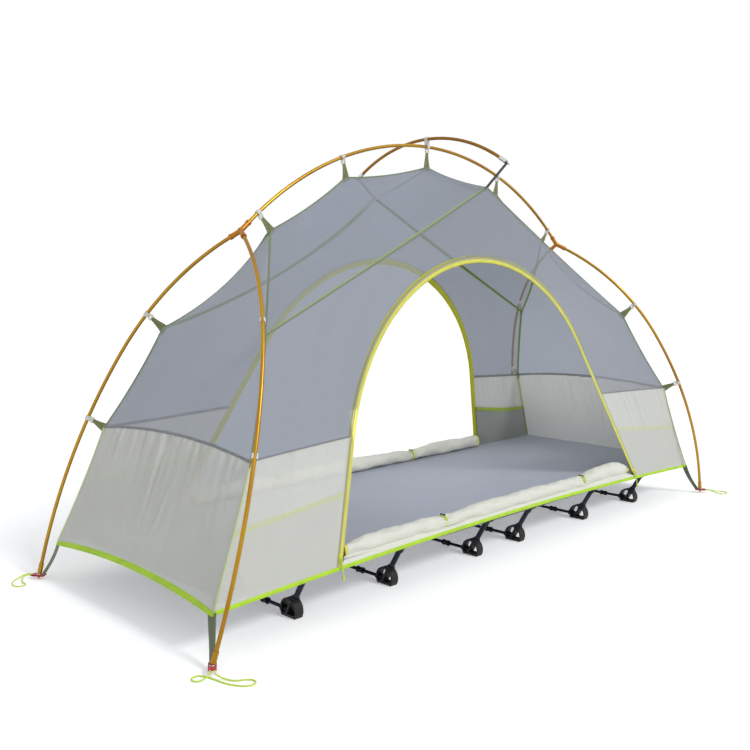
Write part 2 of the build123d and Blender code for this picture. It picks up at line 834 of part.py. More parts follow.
def top_clip():
    """Double clip at the middle: the ridge pole below, the cross pole above."""
    ridge_point = Vector(0, 0, ridge_apex_z)
    cross_point = Vector(0, 0, cross_apex_z)
    lower = clip_frame(ridge_point, X, ridge_top) * pole_clip()
    lower -= rod(ridge_point, cross_point, clip_ring_mouth)
    half = clip_ring_length / 2
    post = block((-half, -half, ridge_apex_z), (half, half, cross_apex_z))
    upper = rod(cross_point - Y * half, cross_point + Y * half, clip_ring_radius)
    body = lower + post + upper
    body -= rod(ridge_point - X * reach, ridge_point + X * reach, pole_radius + seat_gap)
    return body - rod(cross_point - Y * reach, cross_point + Y * reach, pole_radius + seat_gap)


def cross_strap(tent):
    """Elastic strap from the far tip of the cross pole to the far side peak."""
    axis = -cross_bow.direction()
    face = cross_tip + axis * tip_cap_floor
    start = face + axis * soft_gap
    end = start + axis * cross_ring_length
    middle = (start + end) * 0.5
    hold = tip_pin_radius + seat_gap
    ring = rod(start, end, hold + cross_ring_wall)
    buried = side_peak + (side_peak - middle).normalized() * strap_bury
    band = plate(middle, buried, X, cross_strap_width, cross_strap_width, strap_thickness)
    return ring + band - rod(face, end + axis, hold) - tent


# Corner straps, tabs and peg loops


def tab_middle():
    """Where the tip's pin passes through the +X +Y tab."""
    axis = -tip_bow.direction()
    face = leg_tip + axis * tip_cap_floor
    return face + axis * ((tab_z - face.Z) / axis.Z)


def tab_out():
    """Level direction from the bed's corner out through the tab."""
    out = tab_middle() - base_corner
    return Vector(out.X, out.Y, 0).normalized()


def corner_tab():
    """Folded webbing tab with an eyelet for the pin."""
    middle = tab_middle()
    seat = Plane(origin=middle, x_dir=tab_out(), z_dir=Z)
    outline = RectangleRounded(tab_inner + tab_outer, tab_width, tab_corner)
    body = extrude(seat * Pos((tab_outer - tab_inner) / 2, 0) * outline, tab_thickness / 2, both=True)
    return body - Pos(middle) * Cylinder(tab_hole_radius, 2 * tab_thickness)


def corner_strap():
    """Webbing from the bed's corner down to the tab."""
    middle = tab_middle()
    out = tab_out()
    across = Z.cross(out)
    top = base_corner - out * corner_strap_inset
    low = middle - out * (tab_inner - corner_strap_inset) + Z * (tab_thickness / 2)
    along = (low - top).normalized()
    strip = plate(top - along * strap_bury, low + along * strap_bury, across,
                  corner_strap_top_width, corner_strap_low_width, strap_thickness)
    keep = block((-reach, -reach, middle.Z + tab_thickness / 2), (reach, reach, base_z))
    return strip & keep


def cord_tube(points):
    """Round cord along a route, each corner an arc as large as its runs allow."""
    radii = []
    for before, here, after in zip(points, points[1:], points[2:]):
        arriving, leaving = here - before, after - here
        turn = radians(arriving.get_angle(leaving))
        radii.append(cord_bend_share * min(arriving.length, leaving.length) / tan(turn / 2))
    path = FilletPolyline(*points, radius=radii)
    section = Plane(origin=path @ 0, z_dir=path % 0) * Circle(cord_radius)
    tube = sweep(section, path=path.wire())
    print("cord length", round(path.length, 1), "least radius", round(min(radii), 1),
          "volume share", round(tube.volume / (section.area * path.length), 4))
    return tube


def peg_loop(x_sign, y_sign, route):
    """Loop of cord from the tab's outer edge, over the ground and back. Route: out, across, height."""
    middle, out = tab_middle(), tab_out()
    across = Z.cross(out)
    edge = middle + out * tab_outer
    points = []
    for forward, sideways, height in route:
        point = edge + out * forward + across * sideways
        points.append(Vector(point.X * x_sign, point.Y * y_sign, height))
    return cord_tube(points)


peg_routes = {
    "peg_loop_near_left": (-1, -1, [
        (0, -4, 10), (11, -4, 10), (20, -11, 5.5), (24, -23, 1.7), (19, -36, 1.7), (5, -37, 1.7),
        (-2, -24, 1.7), (5, -11, 1.7), (15, 1, 1.7), (28, 13, 1.7), (40, 26, 1.7), (48, 40, 1.7),
        (54, 55, 1.7), (54, 69, 1.7), (43, 79, 1.7), (30, 73, 1.7), (28, 58, 1.7), (30, 45, 1.7),
        (27, 33, 1.7), (21, 22, 3), (19, 13, 6.5), (12, 4, 10), (0, 4, 10),
    ]),
    "peg_loop_far_left": (-1, 1, [
        (0, 4, 10), (12, 4, 10), (25, -1, 5.5), (31, -14, 1.7), (30, -30, 1.7), (25, -45, 1.7),
        (15, -58, 1.7), (1, -64, 1.7), (-12, -56, 1.7), (-10, -42, 1.7), (3, -37, 1.7),
        (10, -25, 1.7), (18, -14, 5.5), (12, -4, 10), (0, -4, 10),
    ]),
    "peg_loop_near_right": (1, -1, [
        (0, -4, 10), (12, -4, 10), (25, -10, 4.5), (40, -20, 1.7), (56, -22, 1.7), (67, -11, 1.7),
        (68, 6, 1.7), (58, 19, 1.7), (42, 20, 1.7), (26, 12, 4.5), (12, 4, 10), (0, 4, 10),
    ]),
    "peg_loop_far_right": (1, 1, [
        (0, -4, 10), (12, -4, 10), (25, -7, 4.5), (40, -13, 1.7), (57, -14, 1.7), (71, -5, 1.7),
        (74, 11, 1.7), (63, 22, 1.7), (47, 21, 1.7), (33, 14, 1.8), (22, 8, 4.5), (12, 4, 10), (0, 4, 10),
    ]),
}


# Build and write every node


def build_bed():
    save("bed_sheet", [bed_sheet()])
    sleeves = rail_sleeves()
    save("rail_sleeves", sleeves + [in_y(sleeve) for sleeve in sleeves])
    sections = rail()
    save("far_rail", sections)
    save("near_rail", [in_y(section) for section in sections])
    inserts = rail_inserts()
    save("rail_inserts", inserts + [in_y(insert) for insert in inserts])


def build_legs():
    far_foot = foot()
    far_strut = strut()
    far_coupling = coupling()
    feet = [far_foot, in_y(far_foot)]
    tubes = [far_strut, in_y(far_strut)] + cross_rod()
    fittings = [far_clip(), in_y(near_clip()), far_coupling, in_y(far_coupling)]
    for number, x in enumerate(leg_x_positions, start=1):
        save(f"leg_{number}_feet", [Pos(x, 0, 0) * shape for shape in feet])
        save(f"leg_{number}_tubes", [Pos(x, 0, 0) * shape for shape in tubes])
        save(f"leg_{number}_fittings", [Pos(x, 0, 0) * shape for shape in fittings])


def build_tent():
    for node, solids in tent_cloth().items():
        save(node, solids)
    save("far_door_roll", [door_roll(far_tie_x)])
    save("near_door_roll", [turned(door_roll([-x for x in reversed(near_tie_x)]))])
    far_ties = [Pos(roll_axis() + X * x) * roll_tie() for x in far_tie_x]
    near_ties = [Pos(roll_axis() + X * x) * roll_tie() for x in near_tie_x]
    save("roll_ties", far_ties + [in_y(tie) for tie in near_ties])
    for kind, make in (("zip_slider", zip_slider), ("zip_pull", zip_pull)):
        steep, slant = make(steep_side), make(slant_side)
        save(f"far_right_{kind}", [steep])
        save(f"near_left_{kind}", [turned(steep)])
        save(f"far_left_{kind}", [in_x(slant)])
        save(f"near_right_{kind}", [in_y(slant)])


def build_frame():
    tent = tent_form(0)
    save("ridge_pole", both_ends(ridge_bow.sections(socket_floor)))
    leg_poles = leg_bow.sections(socket_floor) + tip_bow.sections(0)
    right = leg_poles + [in_y(pole) for pole in leg_poles]
    save("right_leg_poles", right)
    save("left_leg_poles", [in_x(pole) for pole in right])
    cross = cross_bow.sections(0)
    save("cross_pole", cross + [in_y(pole) for pole in cross])
    save("pole_hubs", both_ends([pole_hub()]))
    cross_end = pole_tip(cross_bow)
    save("pole_tips", four_corners([pole_tip(tip_bow)]) + [cross_end, in_y(cross_end)])
    clip = pole_clip()
    clips, straps = [], []
    for point, tangent, target in clip_stations():
        copies = both_ends if abs(target.Y) < seat_gap else four_corners
        clips += copies([clip_frame(point, tangent, target) * clip])
        straps += copies([clip_strap(point, tangent, target, tent)])
    straps.append(clip_strap(Vector(0, 0, ridge_apex_z), X, ridge_top, tent))
    save("pole_clips", clips + [top_clip()])
    save("clip_straps", straps)
    strap = cross_strap(tent)
    save("cross_pole_straps", [strap, in_y(strap)])
    save("corner_tabs", four_corners([corner_tab()]))
    save("corner_straps", four_corners([corner_strap()]))
    for node, (x_sign, y_sign, route) in peg_routes.items():
        save(node, [peg_loop(x_sign, y_sign, route)])


build_bed()
build_legs()
build_tent()
build_frame()
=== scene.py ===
"""Looks of the low folding cot with its tent and outside pole frame.

Metres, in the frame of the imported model. +X runs along the bed, -Y is the near side.
"""
from math import atan, cos, hypot, pi, radians, sin

import bpy
import numpy as np
from numpy.linalg import norm
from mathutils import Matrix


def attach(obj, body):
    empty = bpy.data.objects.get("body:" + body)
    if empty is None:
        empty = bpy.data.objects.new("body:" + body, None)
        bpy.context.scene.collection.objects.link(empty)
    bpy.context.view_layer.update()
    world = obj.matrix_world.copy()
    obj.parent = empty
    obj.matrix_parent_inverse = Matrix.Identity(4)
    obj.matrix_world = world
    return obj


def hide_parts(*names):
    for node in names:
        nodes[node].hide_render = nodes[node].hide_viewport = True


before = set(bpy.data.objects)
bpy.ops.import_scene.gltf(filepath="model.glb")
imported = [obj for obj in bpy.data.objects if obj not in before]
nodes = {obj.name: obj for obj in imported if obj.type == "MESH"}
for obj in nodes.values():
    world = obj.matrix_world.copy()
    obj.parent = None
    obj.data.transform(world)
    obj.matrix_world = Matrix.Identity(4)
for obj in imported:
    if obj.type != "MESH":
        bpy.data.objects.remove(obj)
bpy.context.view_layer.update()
scene = bpy.context.scene
bpy.ops.object.select_all(action="DESELECT")


# Sizes of the tent, for the quarter with x > 0 and y > 0

corner = np.array((0.950, 0.320, 0.086))
low_hip = np.array((0.833, 0.291, 0.358))
high_hip = np.array((0.722, 0.198, 0.597))
ridge_end = np.array((0.548, 0.0, 0.8275))
ridge_mid = np.array((0.3065, 0.0, 0.9675))
ridge_top = np.array((0.0, 0.0, 1.018))
side_peak = np.array((0.0, 0.210, 0.950))
tent_middle = np.array((0.0, 0.0, 0.40))
side_hem_rise = 0.021
end_hem_rise = 0.018
binding_height = 0.0075
side_seam_z = 0.372
end_seam_rise = 0.019
wall_lean = (corner[1] - side_peak[1]) / (side_peak[2] - corner[2])

door_half_width = 0.625
door_top_x = 0.050
door_top_z = 0.757
steep_lean = 0.27
slant_lean = 0.60
zip_width = 0.011

sheet_top = 0.1175
sheet_half_length = 0.9345
sheet_half_width = 0.3138
rail_y = 0.300
rail_z = 0.1045

roll_y = 0.29915
roll_ends = (-0.5807, 0.5985)
tie_x = {"far": (-0.300, 0.262), "near": (-0.340, 0.268)}
# Rolls: radius left, between and right of the ties, then at the ties and at the two ends
roll_radius = {"far": (0.022, 0.022, 0.022), "near": (0.022, 0.018, 0.018)}
roll_neck = {"far": 0.015, "near": 0.0135}
roll_end = {"far": (0.012, 0.020), "near": (0.0125, 0.012)}
tie_shoulder = 2.4
end_shoulder = {"far": 2.4, "near": 5.0}
# Where a rolled zip starts and stops, from each end of its roll
zip_stretch = {"far": ((-0.0005, 0.007), (-0.007, 0.0005)), "near": ((-0.0005, 0.017), (-0.007, 0.0005))}

pocket_top = 0.240
hem_rise, hem_drop, hem_sag = 0.022, 0.004, 0.006
hem_width = 0.011
# hem_line, hem_tint and hem_shows: where the pocket hems show through the side cloth as a painted backlight
# tint, and how strongly
hem_line = (0.3110, 0.0956)
hem_tint = (0.62, 0.72, 0.16)
hem_shows = 0.42

sides = (("far", 1), ("near", -1))
tent_ends = (("right", 1), ("left", -1))
corners = [(x, y) for x in (1, -1) for y in (1, -1)]


# Materials


class Look:
    """Nodes of a material or the world, laid out by the UV map or by the object's own coordinates."""

    def __init__(self, owner, by="UV", shader="Principled BSDF", **sockets):
        owner.use_nodes = True
        self.owner, self.tree, self.by = owner, owner.node_tree, by
        self.shader = self.tree.nodes[shader]
        for name, value in sockets.items():
            self.socket(name).default_value = value

    def socket(self, name):
        return self.shader.inputs[name.replace("_", " ").title().replace("Ior", "IOR")]

    def feed(self, **sockets):
        for name, value in sockets.items():
            self.tree.links.new(value, self.socket(name))

    def add(self, kind, inputs=None, **settings):
        """New node. A socket given as an input is linked, any other value is set."""
        node = self.tree.nodes.new("ShaderNode" + kind)
        for name, value in settings.items():
            setattr(node, name, value)
        for key, value in (inputs or {}).items():
            if isinstance(value, bpy.types.NodeSocket):
                self.tree.links.new(value, node.inputs[key])
            else:
                node.inputs[key].default_value = value
        return node

    def place(self):
        return self.add("TexCoord").outputs[self.by]

    def axes(self):
        return self.add("SeparateXYZ", {"Vector": self.place()}).outputs

    def maths(self, operation, *values):
        return self.add("Math", dict(enumerate(values)), operation=operation).outputs["Value"]

    def noise(self, scale, detail):
        inputs = {"Vector": self.place(), "Scale": scale, "Detail": detail}
        return self.add("TexNoise", inputs).outputs["Fac"]

    def mapped(self, value, low, high, start=0.0, stop=1.0):
        """Value that runs from low to high while another runs from start to stop."""
        inputs = {"Value": value, "From Min": start, "From Max": stop, "To Min": low, "To Max": high}
        return self.add("MapRange", inputs).outputs["Result"]

    def mix(self, factor, a, b):
        """Colour between two others, each a socket or a plain colour."""
        a, b = (c if isinstance(c, bpy.types.NodeSocket) else (*c, 1) for c in (a, b))
        return self.add("Mix", {0: factor, 6: a, 7: b}, data_type="RGBA").outputs[2]

    def shades(self, factor, dark, light, low=0.3, high=0.7):
        """Colour that runs from dark to light with the factor."""
        ramp = self.add("ValToRGB", {"Fac": factor})
        for element, position, colour in zip(ramp.color_ramp.elements, (low, high), (dark, light)):
            element.position = position
            element.color = (*colour, 1)
        return ramp.outputs["Color"]

    def tint(self, share, colour):
        """Mix another colour into the shader's own."""
        own = self.socket("base_color").links[0].from_socket
        self.feed(base_color=self.mix(share, own, colour))

    def threads(self, pitch, turn=0.0):
        """Bands of thread at a pitch in metres, turned in the cloth's plane."""
        turned = self.add("Mapping", {"Vector": self.place(), "Rotation": (0, 0, turn)}).outputs["Vector"]
        wave = {"Vector": turned, "Scale": 2 * pi / (20 * pitch), "Distortion": 0.4}
        return self.add("TexWave", wave).outputs["Fac"]

    def crossed(self, pitch, *turns):
        """Height of a weave: the higher of two sets of thread."""
        return self.maths("MAXIMUM", *[self.threads(pitch, turn) for turn in turns])

    def bump(self, height, distance, strength):
        inputs = {"Height": height, "Distance": distance, "Strength": strength}
        self.feed(normal=self.add("Bump", inputs).outputs["Normal"])

    def seen(self):
        """1 for rays that show the background, and 1 for those that came through a net."""
        path = self.add("LightPath").outputs
        direct = self.maths("MAXIMUM", path["Is Camera Ray"], path["Is Glossy Ray"])
        direct = self.maths("MAXIMUM", direct, path["Is Transmission Ray"])
        return direct, self.maths("GREATER_THAN", path["Transparent Depth"], 0.5)


def finish(name, by="UV", **sockets):
    return Look(bpy.data.materials.new(name), by, **sockets)


def scaled(colour, by):
    return tuple(c * by for c in colour)


def woven(name, colour, pitch=0.0012, roughness=0.7, sheen=0.2, alpha=1.0, mottle=0.06, turn=0.0):
    """Plain woven cloth or webbing, mottled a little, with its threads as relief."""
    look = finish(name, roughness=roughness, sheen_weight=sheen, sheen_roughness=0.5, alpha=alpha)
    height = look.crossed(pitch, turn, turn + pi / 2)
    half = look.maths("MULTIPLY", look.maths("ADD", height, look.noise(14.0, 5.0)), 0.5)
    look.feed(base_color=look.shades(half, scaled(colour, 1 - 2 * mottle), scaled(colour, 1 + mottle)))
    look.bump(height, pitch * 0.25, 0.5)
    return look.owner


def net(name, colour, thin=0.22, dense=0.60, pitch=0.0016):
    """Fine netting: slanted threads that let the light through between them."""
    look = finish(name, roughness=0.75, sheen_weight=0.15)
    strands = look.crossed(pitch, radians(60), radians(-60))
    tone = look.shades(look.noise(5.0, 4.0), scaled(colour, 0.95), scaled(colour, 1.05))
    look.feed(base_color=tone, alpha=look.mapped(strands, thin, dense, 0.2, 0.95))
    look.bump(strands, pitch * 0.2, 0.4)
    return look.owner


def stitched(name, colour, thread, pitch, rows, across=0.0006, stitch=0.004, sheen=0.2):
    """Tape or webbing with ribs across it and rows of stitches along it, at heights on its UV map."""
    look = finish(name, roughness=0.6, sheen_weight=sheen)
    axes = look.axes()
    tone = look.shades(look.noise(30.0, 4.0), scaled(colour, 0.86), scaled(colour, 1.08))
    beat = look.maths("FRACT", look.maths("DIVIDE", axes["X"], stitch))
    line = 0.0
    for row in rows:
        line = look.maths("MAXIMUM", line, look.maths("COMPARE", axes["Y"], row, across))
    sewn = look.maths("MULTIPLY", line, look.maths("LESS_THAN", beat, 0.68))
    look.feed(base_color=look.mix(sewn, tone, thread))
    look.bump(look.maths("MULTIPLY_ADD", sewn, 2.0, look.threads(pitch)), 0.0003, 0.6)
    return look.owner


def anodised(name, colour, dark, roughness=0.30, metallic=0.85):
    """Drawn metal tube with a coloured skin: uneven colour and small scuffs."""
    look = finish(name, "Object", metallic=metallic)
    scuff = look.noise(60.0, 8.0)
    look.feed(base_color=look.shades(look.noise(7.0, 3.0), dark, colour, 0.25, 0.6),
              roughness=look.mapped(scuff, roughness * 0.7, roughness * 1.5))
    look.bump(scuff, 0.0001, 0.25)
    return look.owner


def moulded(name, colour, roughness, **sockets):
    """Moulded plastic with a fine grain and slightly uneven gloss."""
    look = finish(name, "Object", **sockets)
    broad = look.noise(25.0, 5.0)
    look.feed(base_color=look.shades(broad, scaled(colour, 0.8), scaled(colour, 1.15)),
              roughness=look.mapped(broad, roughness * 0.8, roughness * 1.25))
    look.bump(look.noise(900.0, 3.0), 0.0002, 0.3)
    return look.owner


def paint_hem_show_through(material, colour, line, width):
    """Painted backlight: tint where the pocket's hem shows through the translucent cloth, by its height at x
    = 0 and its fall along x.
    """
    look = Look(material, "Object")
    axes = look.axes()
    above = look.maths("MULTIPLY_ADD", look.maths("ABSOLUTE", axes["X"]), line[1], axes["Z"])
    off = look.maths("ABSOLUTE", look.maths("SUBTRACT", above, line[0]))
    look.tint(look.mapped(off, hem_shows, 0.0, width * 0.15, width * 0.75), colour)


def change_above(material, height, colour):
    """Another colour above a height."""
    look = Look(material, "Object")
    look.tint(look.maths("GREATER_THAN", look.axes()["Z"], height), colour)


mesh_net = net("blue_grey_net", (0.315, 0.335, 0.385))
# Painted light: the end nets are the wall net painted paler, to make up for the shade they stand in.
painted_light_net = net("blue_grey_net_painted_paler", (0.46, 0.49, 0.55))
roof_net = net("blue_grey_roof_net", (0.34, 0.37, 0.43), 0.26, 0.64)
# The side panels' copy of the cream cloth carries the pocket hems' painted show-through.
lower_fabric, side_fabric = [
    woven(name, (0.62, 0.625, 0.58), 0.0009, 0.62, alpha=0.85, mottle=0.04)
    for name in ("cream_polyester", "cream_polyester_over_pocket")]
paint_hem_show_through(side_fabric, hem_tint, hem_line, hem_width)
pocket_fabric = woven("grey_pocket_cloth", (0.27, 0.29, 0.27))
roll_fabric = woven("cream_door_cloth", (0.70, 0.705, 0.62), 0.0009, 0.6, 0.25, mottle=0.04)
bed_fabric = woven("blue_grey_bed_cloth", (0.33, 0.36, 0.44), 0.0012, 0.72, 0.3, mottle=0.05)
sleeve_fabric = woven("dark_grey_sleeve_cloth", (0.10, 0.11, 0.12), roughness=0.75)
olive_tape = woven("olive_seam_tape", (0.17, 0.27, 0.020))
lime_olive_tape = woven("lime_olive_seam_tape", (0.31, 0.40, 0.14))
olive_piping = woven("olive_seam_piping", (0.18, 0.235, 0.085))
pale_piping = woven("pale_lime_piping", (0.50, 0.60, 0.30))
grey_tape = woven("grey_seam_tape", (0.20, 0.205, 0.20))
lime_binding = stitched(
    "lime_binding", (0.43, 0.70, 0.014), (0.58, 0.80, 0.08), 0.0016, (0.0125,), sheen=0.04)
yellow_zip = stitched(
    "yellow_zip_tape", (0.74, 0.72, 0.09), (0.82, 0.80, 0.25), 0.0012, (0.008,), 0.0005, 0.003)
zip_teeth = moulded("yellow_zip_teeth", (0.80, 0.76, 0.06), 0.4)
zip_edge = woven("olive_grey_zip_edge", (0.37, 0.36, 0.17), 0.001)
zip_backing = woven("olive_yellow_zip_backing", (0.48, 0.49, 0.008), sheen=0.04)
lime_hem = woven("lime_hem_tape", (0.29, 0.40, 0.02))
lime_cord = woven("lime_tie_cord", (0.56, 0.78, 0.05), 0.0011, 0.6, turn=radians(35))
olive_webbing = stitched(
    "olive_webbing", (0.155, 0.175, 0.055), (0.30, 0.32, 0.14), 0.0015, (0.0035, 0.0165))
grey_webbing = stitched(
    "grey_green_webbing", (0.125, 0.155, 0.085), (0.2, 0.22, 0.15), 0.0015, (0.003, 0.017))
red_webbing = stitched("red_webbing", (0.45, 0.015, 0.02), (0.6, 0.08, 0.08), 0.0015, (0.003, 0.014))
black_elastic = woven("black_elastic", (0.012, 0.012, 0.013), 0.0013, 0.6, 0.3)
gold = (0.47, 0.260, 0.020)
brown_gold = (0.33, 0.150, 0.012)
gold_pole = anodised("gold_pole", gold, brown_gold)
# Painted shade: the cross pole gets a darker copy of the gold pole finish, for the shadow it is seen in.
shaded_cross_pole = anodised("cross_pole_painted_shade", (0.33, 0.155, 0.014), (0.19, 0.075, 0.009))
orange_hub = anodised("orange_hub", (0.60, 0.245, 0.018), (0.38, 0.130, 0.011), 0.36, 0.7)
bright_metal = anodised("bright_metal", (0.72, 0.73, 0.74), (0.52, 0.53, 0.55), 0.22, 0.9)
tip_metal = anodised("gold_foot_tip", gold, brown_gold)
change_above(tip_metal, 0.30, (0.66, 0.67, 0.68))
rail_metal = anodised("grey_rail_metal", (0.42, 0.43, 0.45), (0.30, 0.31, 0.33), metallic=0.9)
rod_metal = anodised("navy_rod_metal", (0.030, 0.036, 0.055), (0.016, 0.018, 0.026), metallic=0.9)
milky_plastic = moulded("milky_plastic", (0.70, 0.68, 0.62), 0.38, subsurface_weight=0.15)
black_plastic = moulded("black_plastic", (0.007, 0.007, 0.008), 0.5, specular_ior_level=0.35)
slider_paint = moulded("yellow_slider_paint", (0.72, 0.70, 0.06), 0.3, metallic=0.3)


def dress(material, *names):
    """Give CAD nodes that keep their shape a finish."""
    for name in names:
        nodes[name].data.materials.clear()
        nodes[name].data.materials.append(material)


legs = [f"leg_{number}" for number in range(1, 7)]
zips = [f"{side}_{end}_zip" for side, _ in sides for end, _ in tent_ends]
dress(gold_pole, "ridge_pole", "right_leg_poles", "left_leg_poles")
dress(shaded_cross_pole, "cross_pole")
dress(orange_hub, "pole_hubs")
dress(tip_metal, "pole_tips")
dress(bright_metal, "rail_inserts")
dress(rail_metal, "far_rail", "near_rail")
dress(milky_plastic, "pole_clips")
dress(black_plastic, *[leg + "_feet" for leg in legs], *[leg + "_fittings" for leg in legs])
dress(rod_metal, *[leg + "_tubes" for leg in legs])
dress(slider_paint, *[zipper + "_slider" for zipper in zips])
dress(lime_cord, *[zipper + "_pull" for zipper in zips])


# Cloth sheets


def unit(vectors):
    return vectors / np.maximum(norm(vectors, axis=-1, keepdims=True), 1e-9)


def hung(a, b, sag, count, towards=tent_middle):
    """Edge between two held points that draws in towards a place."""
    t = np.linspace(0, 1, count)[:, None]
    along = unit(b - a)
    inward = towards - (a + b) / 2
    inward = unit(inward - along * (inward @ along))
    return a + (b - a) * t + inward * (4 * sag * t * (1 - t))


def joined(*runs):
    return np.concatenate([runs[0]] + [run[1:] for run in runs[1:]])


def flipped(points, x=1, y=1):
    return points * np.array((x, y, 1.0))


def panel(bottom, top, left, right):
    """Cloth between four edges that meet at their ends, drawn tight."""
    u = np.linspace(0, 1, len(bottom))[None, :, None]
    v = np.linspace(0, 1, len(left))[:, None, None]
    grid = (1 - v) * bottom[None] + v * top[None] + (1 - u) * left[:, None] + u * right[:, None]
    grid = grid - (1 - v) * ((1 - u) * bottom[0] + u * bottom[-1])
    grid = grid - v * ((1 - u) * top[0] + u * top[-1])
    for _ in range(60):
        around = grid[:-2, 1:-1] + grid[2:, 1:-1] + grid[1:-1, :-2] + grid[1:-1, 2:]
        grid[1:-1, 1:-1] = around / 4
    return grid


def own_normals(grid):
    return unit(np.cross(np.gradient(grid, axis=1), np.gradient(grid, axis=0)))


def faces_away(grid):
    """Whether a panel's own normals point away from the middle of the tent."""
    middle = grid.shape[0] // 2, grid.shape[1] // 2
    return own_normals(grid)[middle] @ (grid[middle] - tent_middle) > 0


def raised(grid, height):
    """A panel with relief of a height at each point, away from the middle of the tent."""
    return grid + own_normals(grid) * (height if faces_away(grid) else -height)[:, :, None]


def travelled(points, axis=0):
    """How far along an axis of a grid each point is, in metres."""
    first = points.take([0], axis)
    return np.cumsum(norm(np.diff(points, axis=axis, prepend=first), axis=-1), axis=axis)


def edit_all(operator, **settings):
    """Run one edit on the whole of the selected mesh."""
    bpy.ops.object.mode_set(mode="EDIT")
    bpy.ops.mesh.select_all(action="SELECT")
    operator(**settings)
    bpy.ops.object.mode_set(mode="OBJECT")


def new_piece(name, points, faces, material):
    """New mesh object, the only one that is selected."""
    mesh = bpy.data.meshes.new(name)
    mesh.from_pydata(points, [], faces)
    mesh.materials.append(material)
    piece = bpy.data.objects.new(name, mesh)
    scene.collection.objects.link(piece)
    bpy.ops.object.select_all(action="DESELECT")
    bpy.context.view_layer.objects.active = piece
    piece.select_set(True)
    return piece


def mounted(piece, node=None):
    """Let a piece stand on the frame, and take a CAD node's place if one is named."""
    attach(piece, "frame")
    if node:
        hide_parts(node)
    return piece


def sheet_of(name, grids, material, node=None, faces_out=True):
    """One mesh object of panels given as grids of points, with its UV map in metres."""
    points, faces, places = [], [], []
    for grid in grids:
        index = np.arange(grid[:, :, 0].size).reshape(grid.shape[:2]) + len(points)
        around = (index[:-1, :-1], index[:-1, 1:], index[1:, 1:], index[1:, :-1])
        quads = np.stack(around, axis=2).reshape(-1, 4)
        faces += (quads if not faces_out or faces_away(grid) else quads[:, ::-1]).tolist()
        points += grid.reshape(-1, 3).tolist()
        places += zip(travelled(grid, 1).ravel(), travelled(grid, 0).ravel())
    piece = new_piece(name, points, faces, material)
    layer = piece.data.uv_layers.new(name="cloth")
    for loop in piece.data.loops:
        layer.data[loop.index].uv = places[loop.vertex_index]
    edit_all(bpy.ops.mesh.remove_doubles, threshold=0.00002)
    bpy.ops.object.shade_smooth_by_angle(angle=radians(40))
    return mounted(piece, node)


# Edges that the panels share


def hip_at(z):
    """Point of the lower hip seam at a height."""
    share = (np.asarray(z) - corner[2]) / (low_hip[2] - corner[2])
    return corner + (low_hip - corner) * share[..., None]


def side_hem(x, above=0.0, proud=0.0):
    """Point of the far hem, which the corner straps draw down, or above it on the wall."""
    return on_wall(x, corner[2] + side_hem_rise * (1 - (x / corner[0]) ** 2) + above, proud)


def end_hem(y, above=0.0, proud=0.0):
    """Point of the hem of the +X end, or above it on the end wall."""
    z = corner[2] + end_hem_rise * (1 - (y / corner[1]) ** 2) + above
    return np.stack([hip_at(z)[..., 0] + proud, y, z], axis=-1)


def end_seam(count):
    """Seam between the lower panel and the net of an end, which rises to its middle."""
    y = np.linspace(-low_hip[1], low_hip[1], count)
    rise = end_seam_rise * (1 - (y / low_hip[1]) ** 2)
    lean = (low_hip[0] - high_hip[0]) / (high_hip[2] - low_hip[2])
    return np.stack([low_hip[0] - lean * rise, y, low_hip[2] + rise], axis=1)


def on_wall(x, z, proud=0.0):
    """Point of the far door wall, or proud of it."""
    size = hypot(1, wall_lean)
    y = corner[1] - wall_lean * (z - corner[2])
    return np.stack([x, y + proud / size, z + proud * wall_lean / size], axis=-1)


def door_x(lean, z, margin=0.0):
    """How far out a straight side of the arch is at a height, widened by the margin."""
    return door_half_width - lean * (z - corner[2]) + margin * hypot(1, lean)


def door_half(lean, top_x, margin, low_z):
    """One side of the arch as x and z on +X: up its straight run, then round its arc to the top."""
    slope = hypot(1, lean)
    radius = (door_x(lean, door_top_z) - top_x) * (lean + slope)
    centre_z = door_top_z - radius
    outer = radius + margin
    rising = np.linspace(low_z, centre_z + outer * lean / slope, 121)
    turns = np.linspace(atan(lean), pi / 2, 161)[1:]
    x = np.concatenate([door_x(lean, rising, margin), top_x + outer * np.cos(turns)])
    return x, np.concatenate([rising, centre_z + outer * np.sin(turns)])


def arch(margin, low_z, count, proud=0.0):
    """The far door's arch from the foot of its slanted left side over to its steep right side."""
    halves = []
    for lean, top_x, sign in ((slant_lean, -door_top_x, -1), (steep_lean, door_top_x, 1)):
        x, z = door_half(lean, top_x, margin, low_z)
        halves.append(spaced(on_wall(sign * x, z, proud), count))
    return joined(halves[0], halves[1][::-1])


def spaced(line, count):
    """The same line with a number of evenly spaced points."""
    steps = travelled(line)
    places = np.linspace(0, steps[-1], count)
    return np.stack([np.interp(places, steps, line[:, axis]) for axis in range(3)], axis=1)


low_hip_sag, hip_sag, crown_sag, ridge_sag = 0.004, 0.006, 0.024, 0.008
cross_sag, peak_sag, slack_sag, side_sag = 0.007, 0.004, 0.042, 0.003
crown_pull = np.array((0.385, -0.200, 0.410))
hip_low = hung(hip_at(corner[2] + binding_height), low_hip, low_hip_sag, 33)
hip_high = hung(low_hip, high_hip, hip_sag, 17)
crown = hung(high_hip, ridge_end, crown_sag, 21, crown_pull)
ridge_half = joined(hung(ridge_end, ridge_mid, ridge_sag, 17), hung(ridge_mid, ridge_top, ridge_sag, 17))
cross_seam = hung(side_peak, ridge_top, cross_sag, 21)
peak_seam = hung(side_peak, high_hip, peak_sag, 33)
slack_seam = hung(side_peak, high_hip, slack_sag, 33)

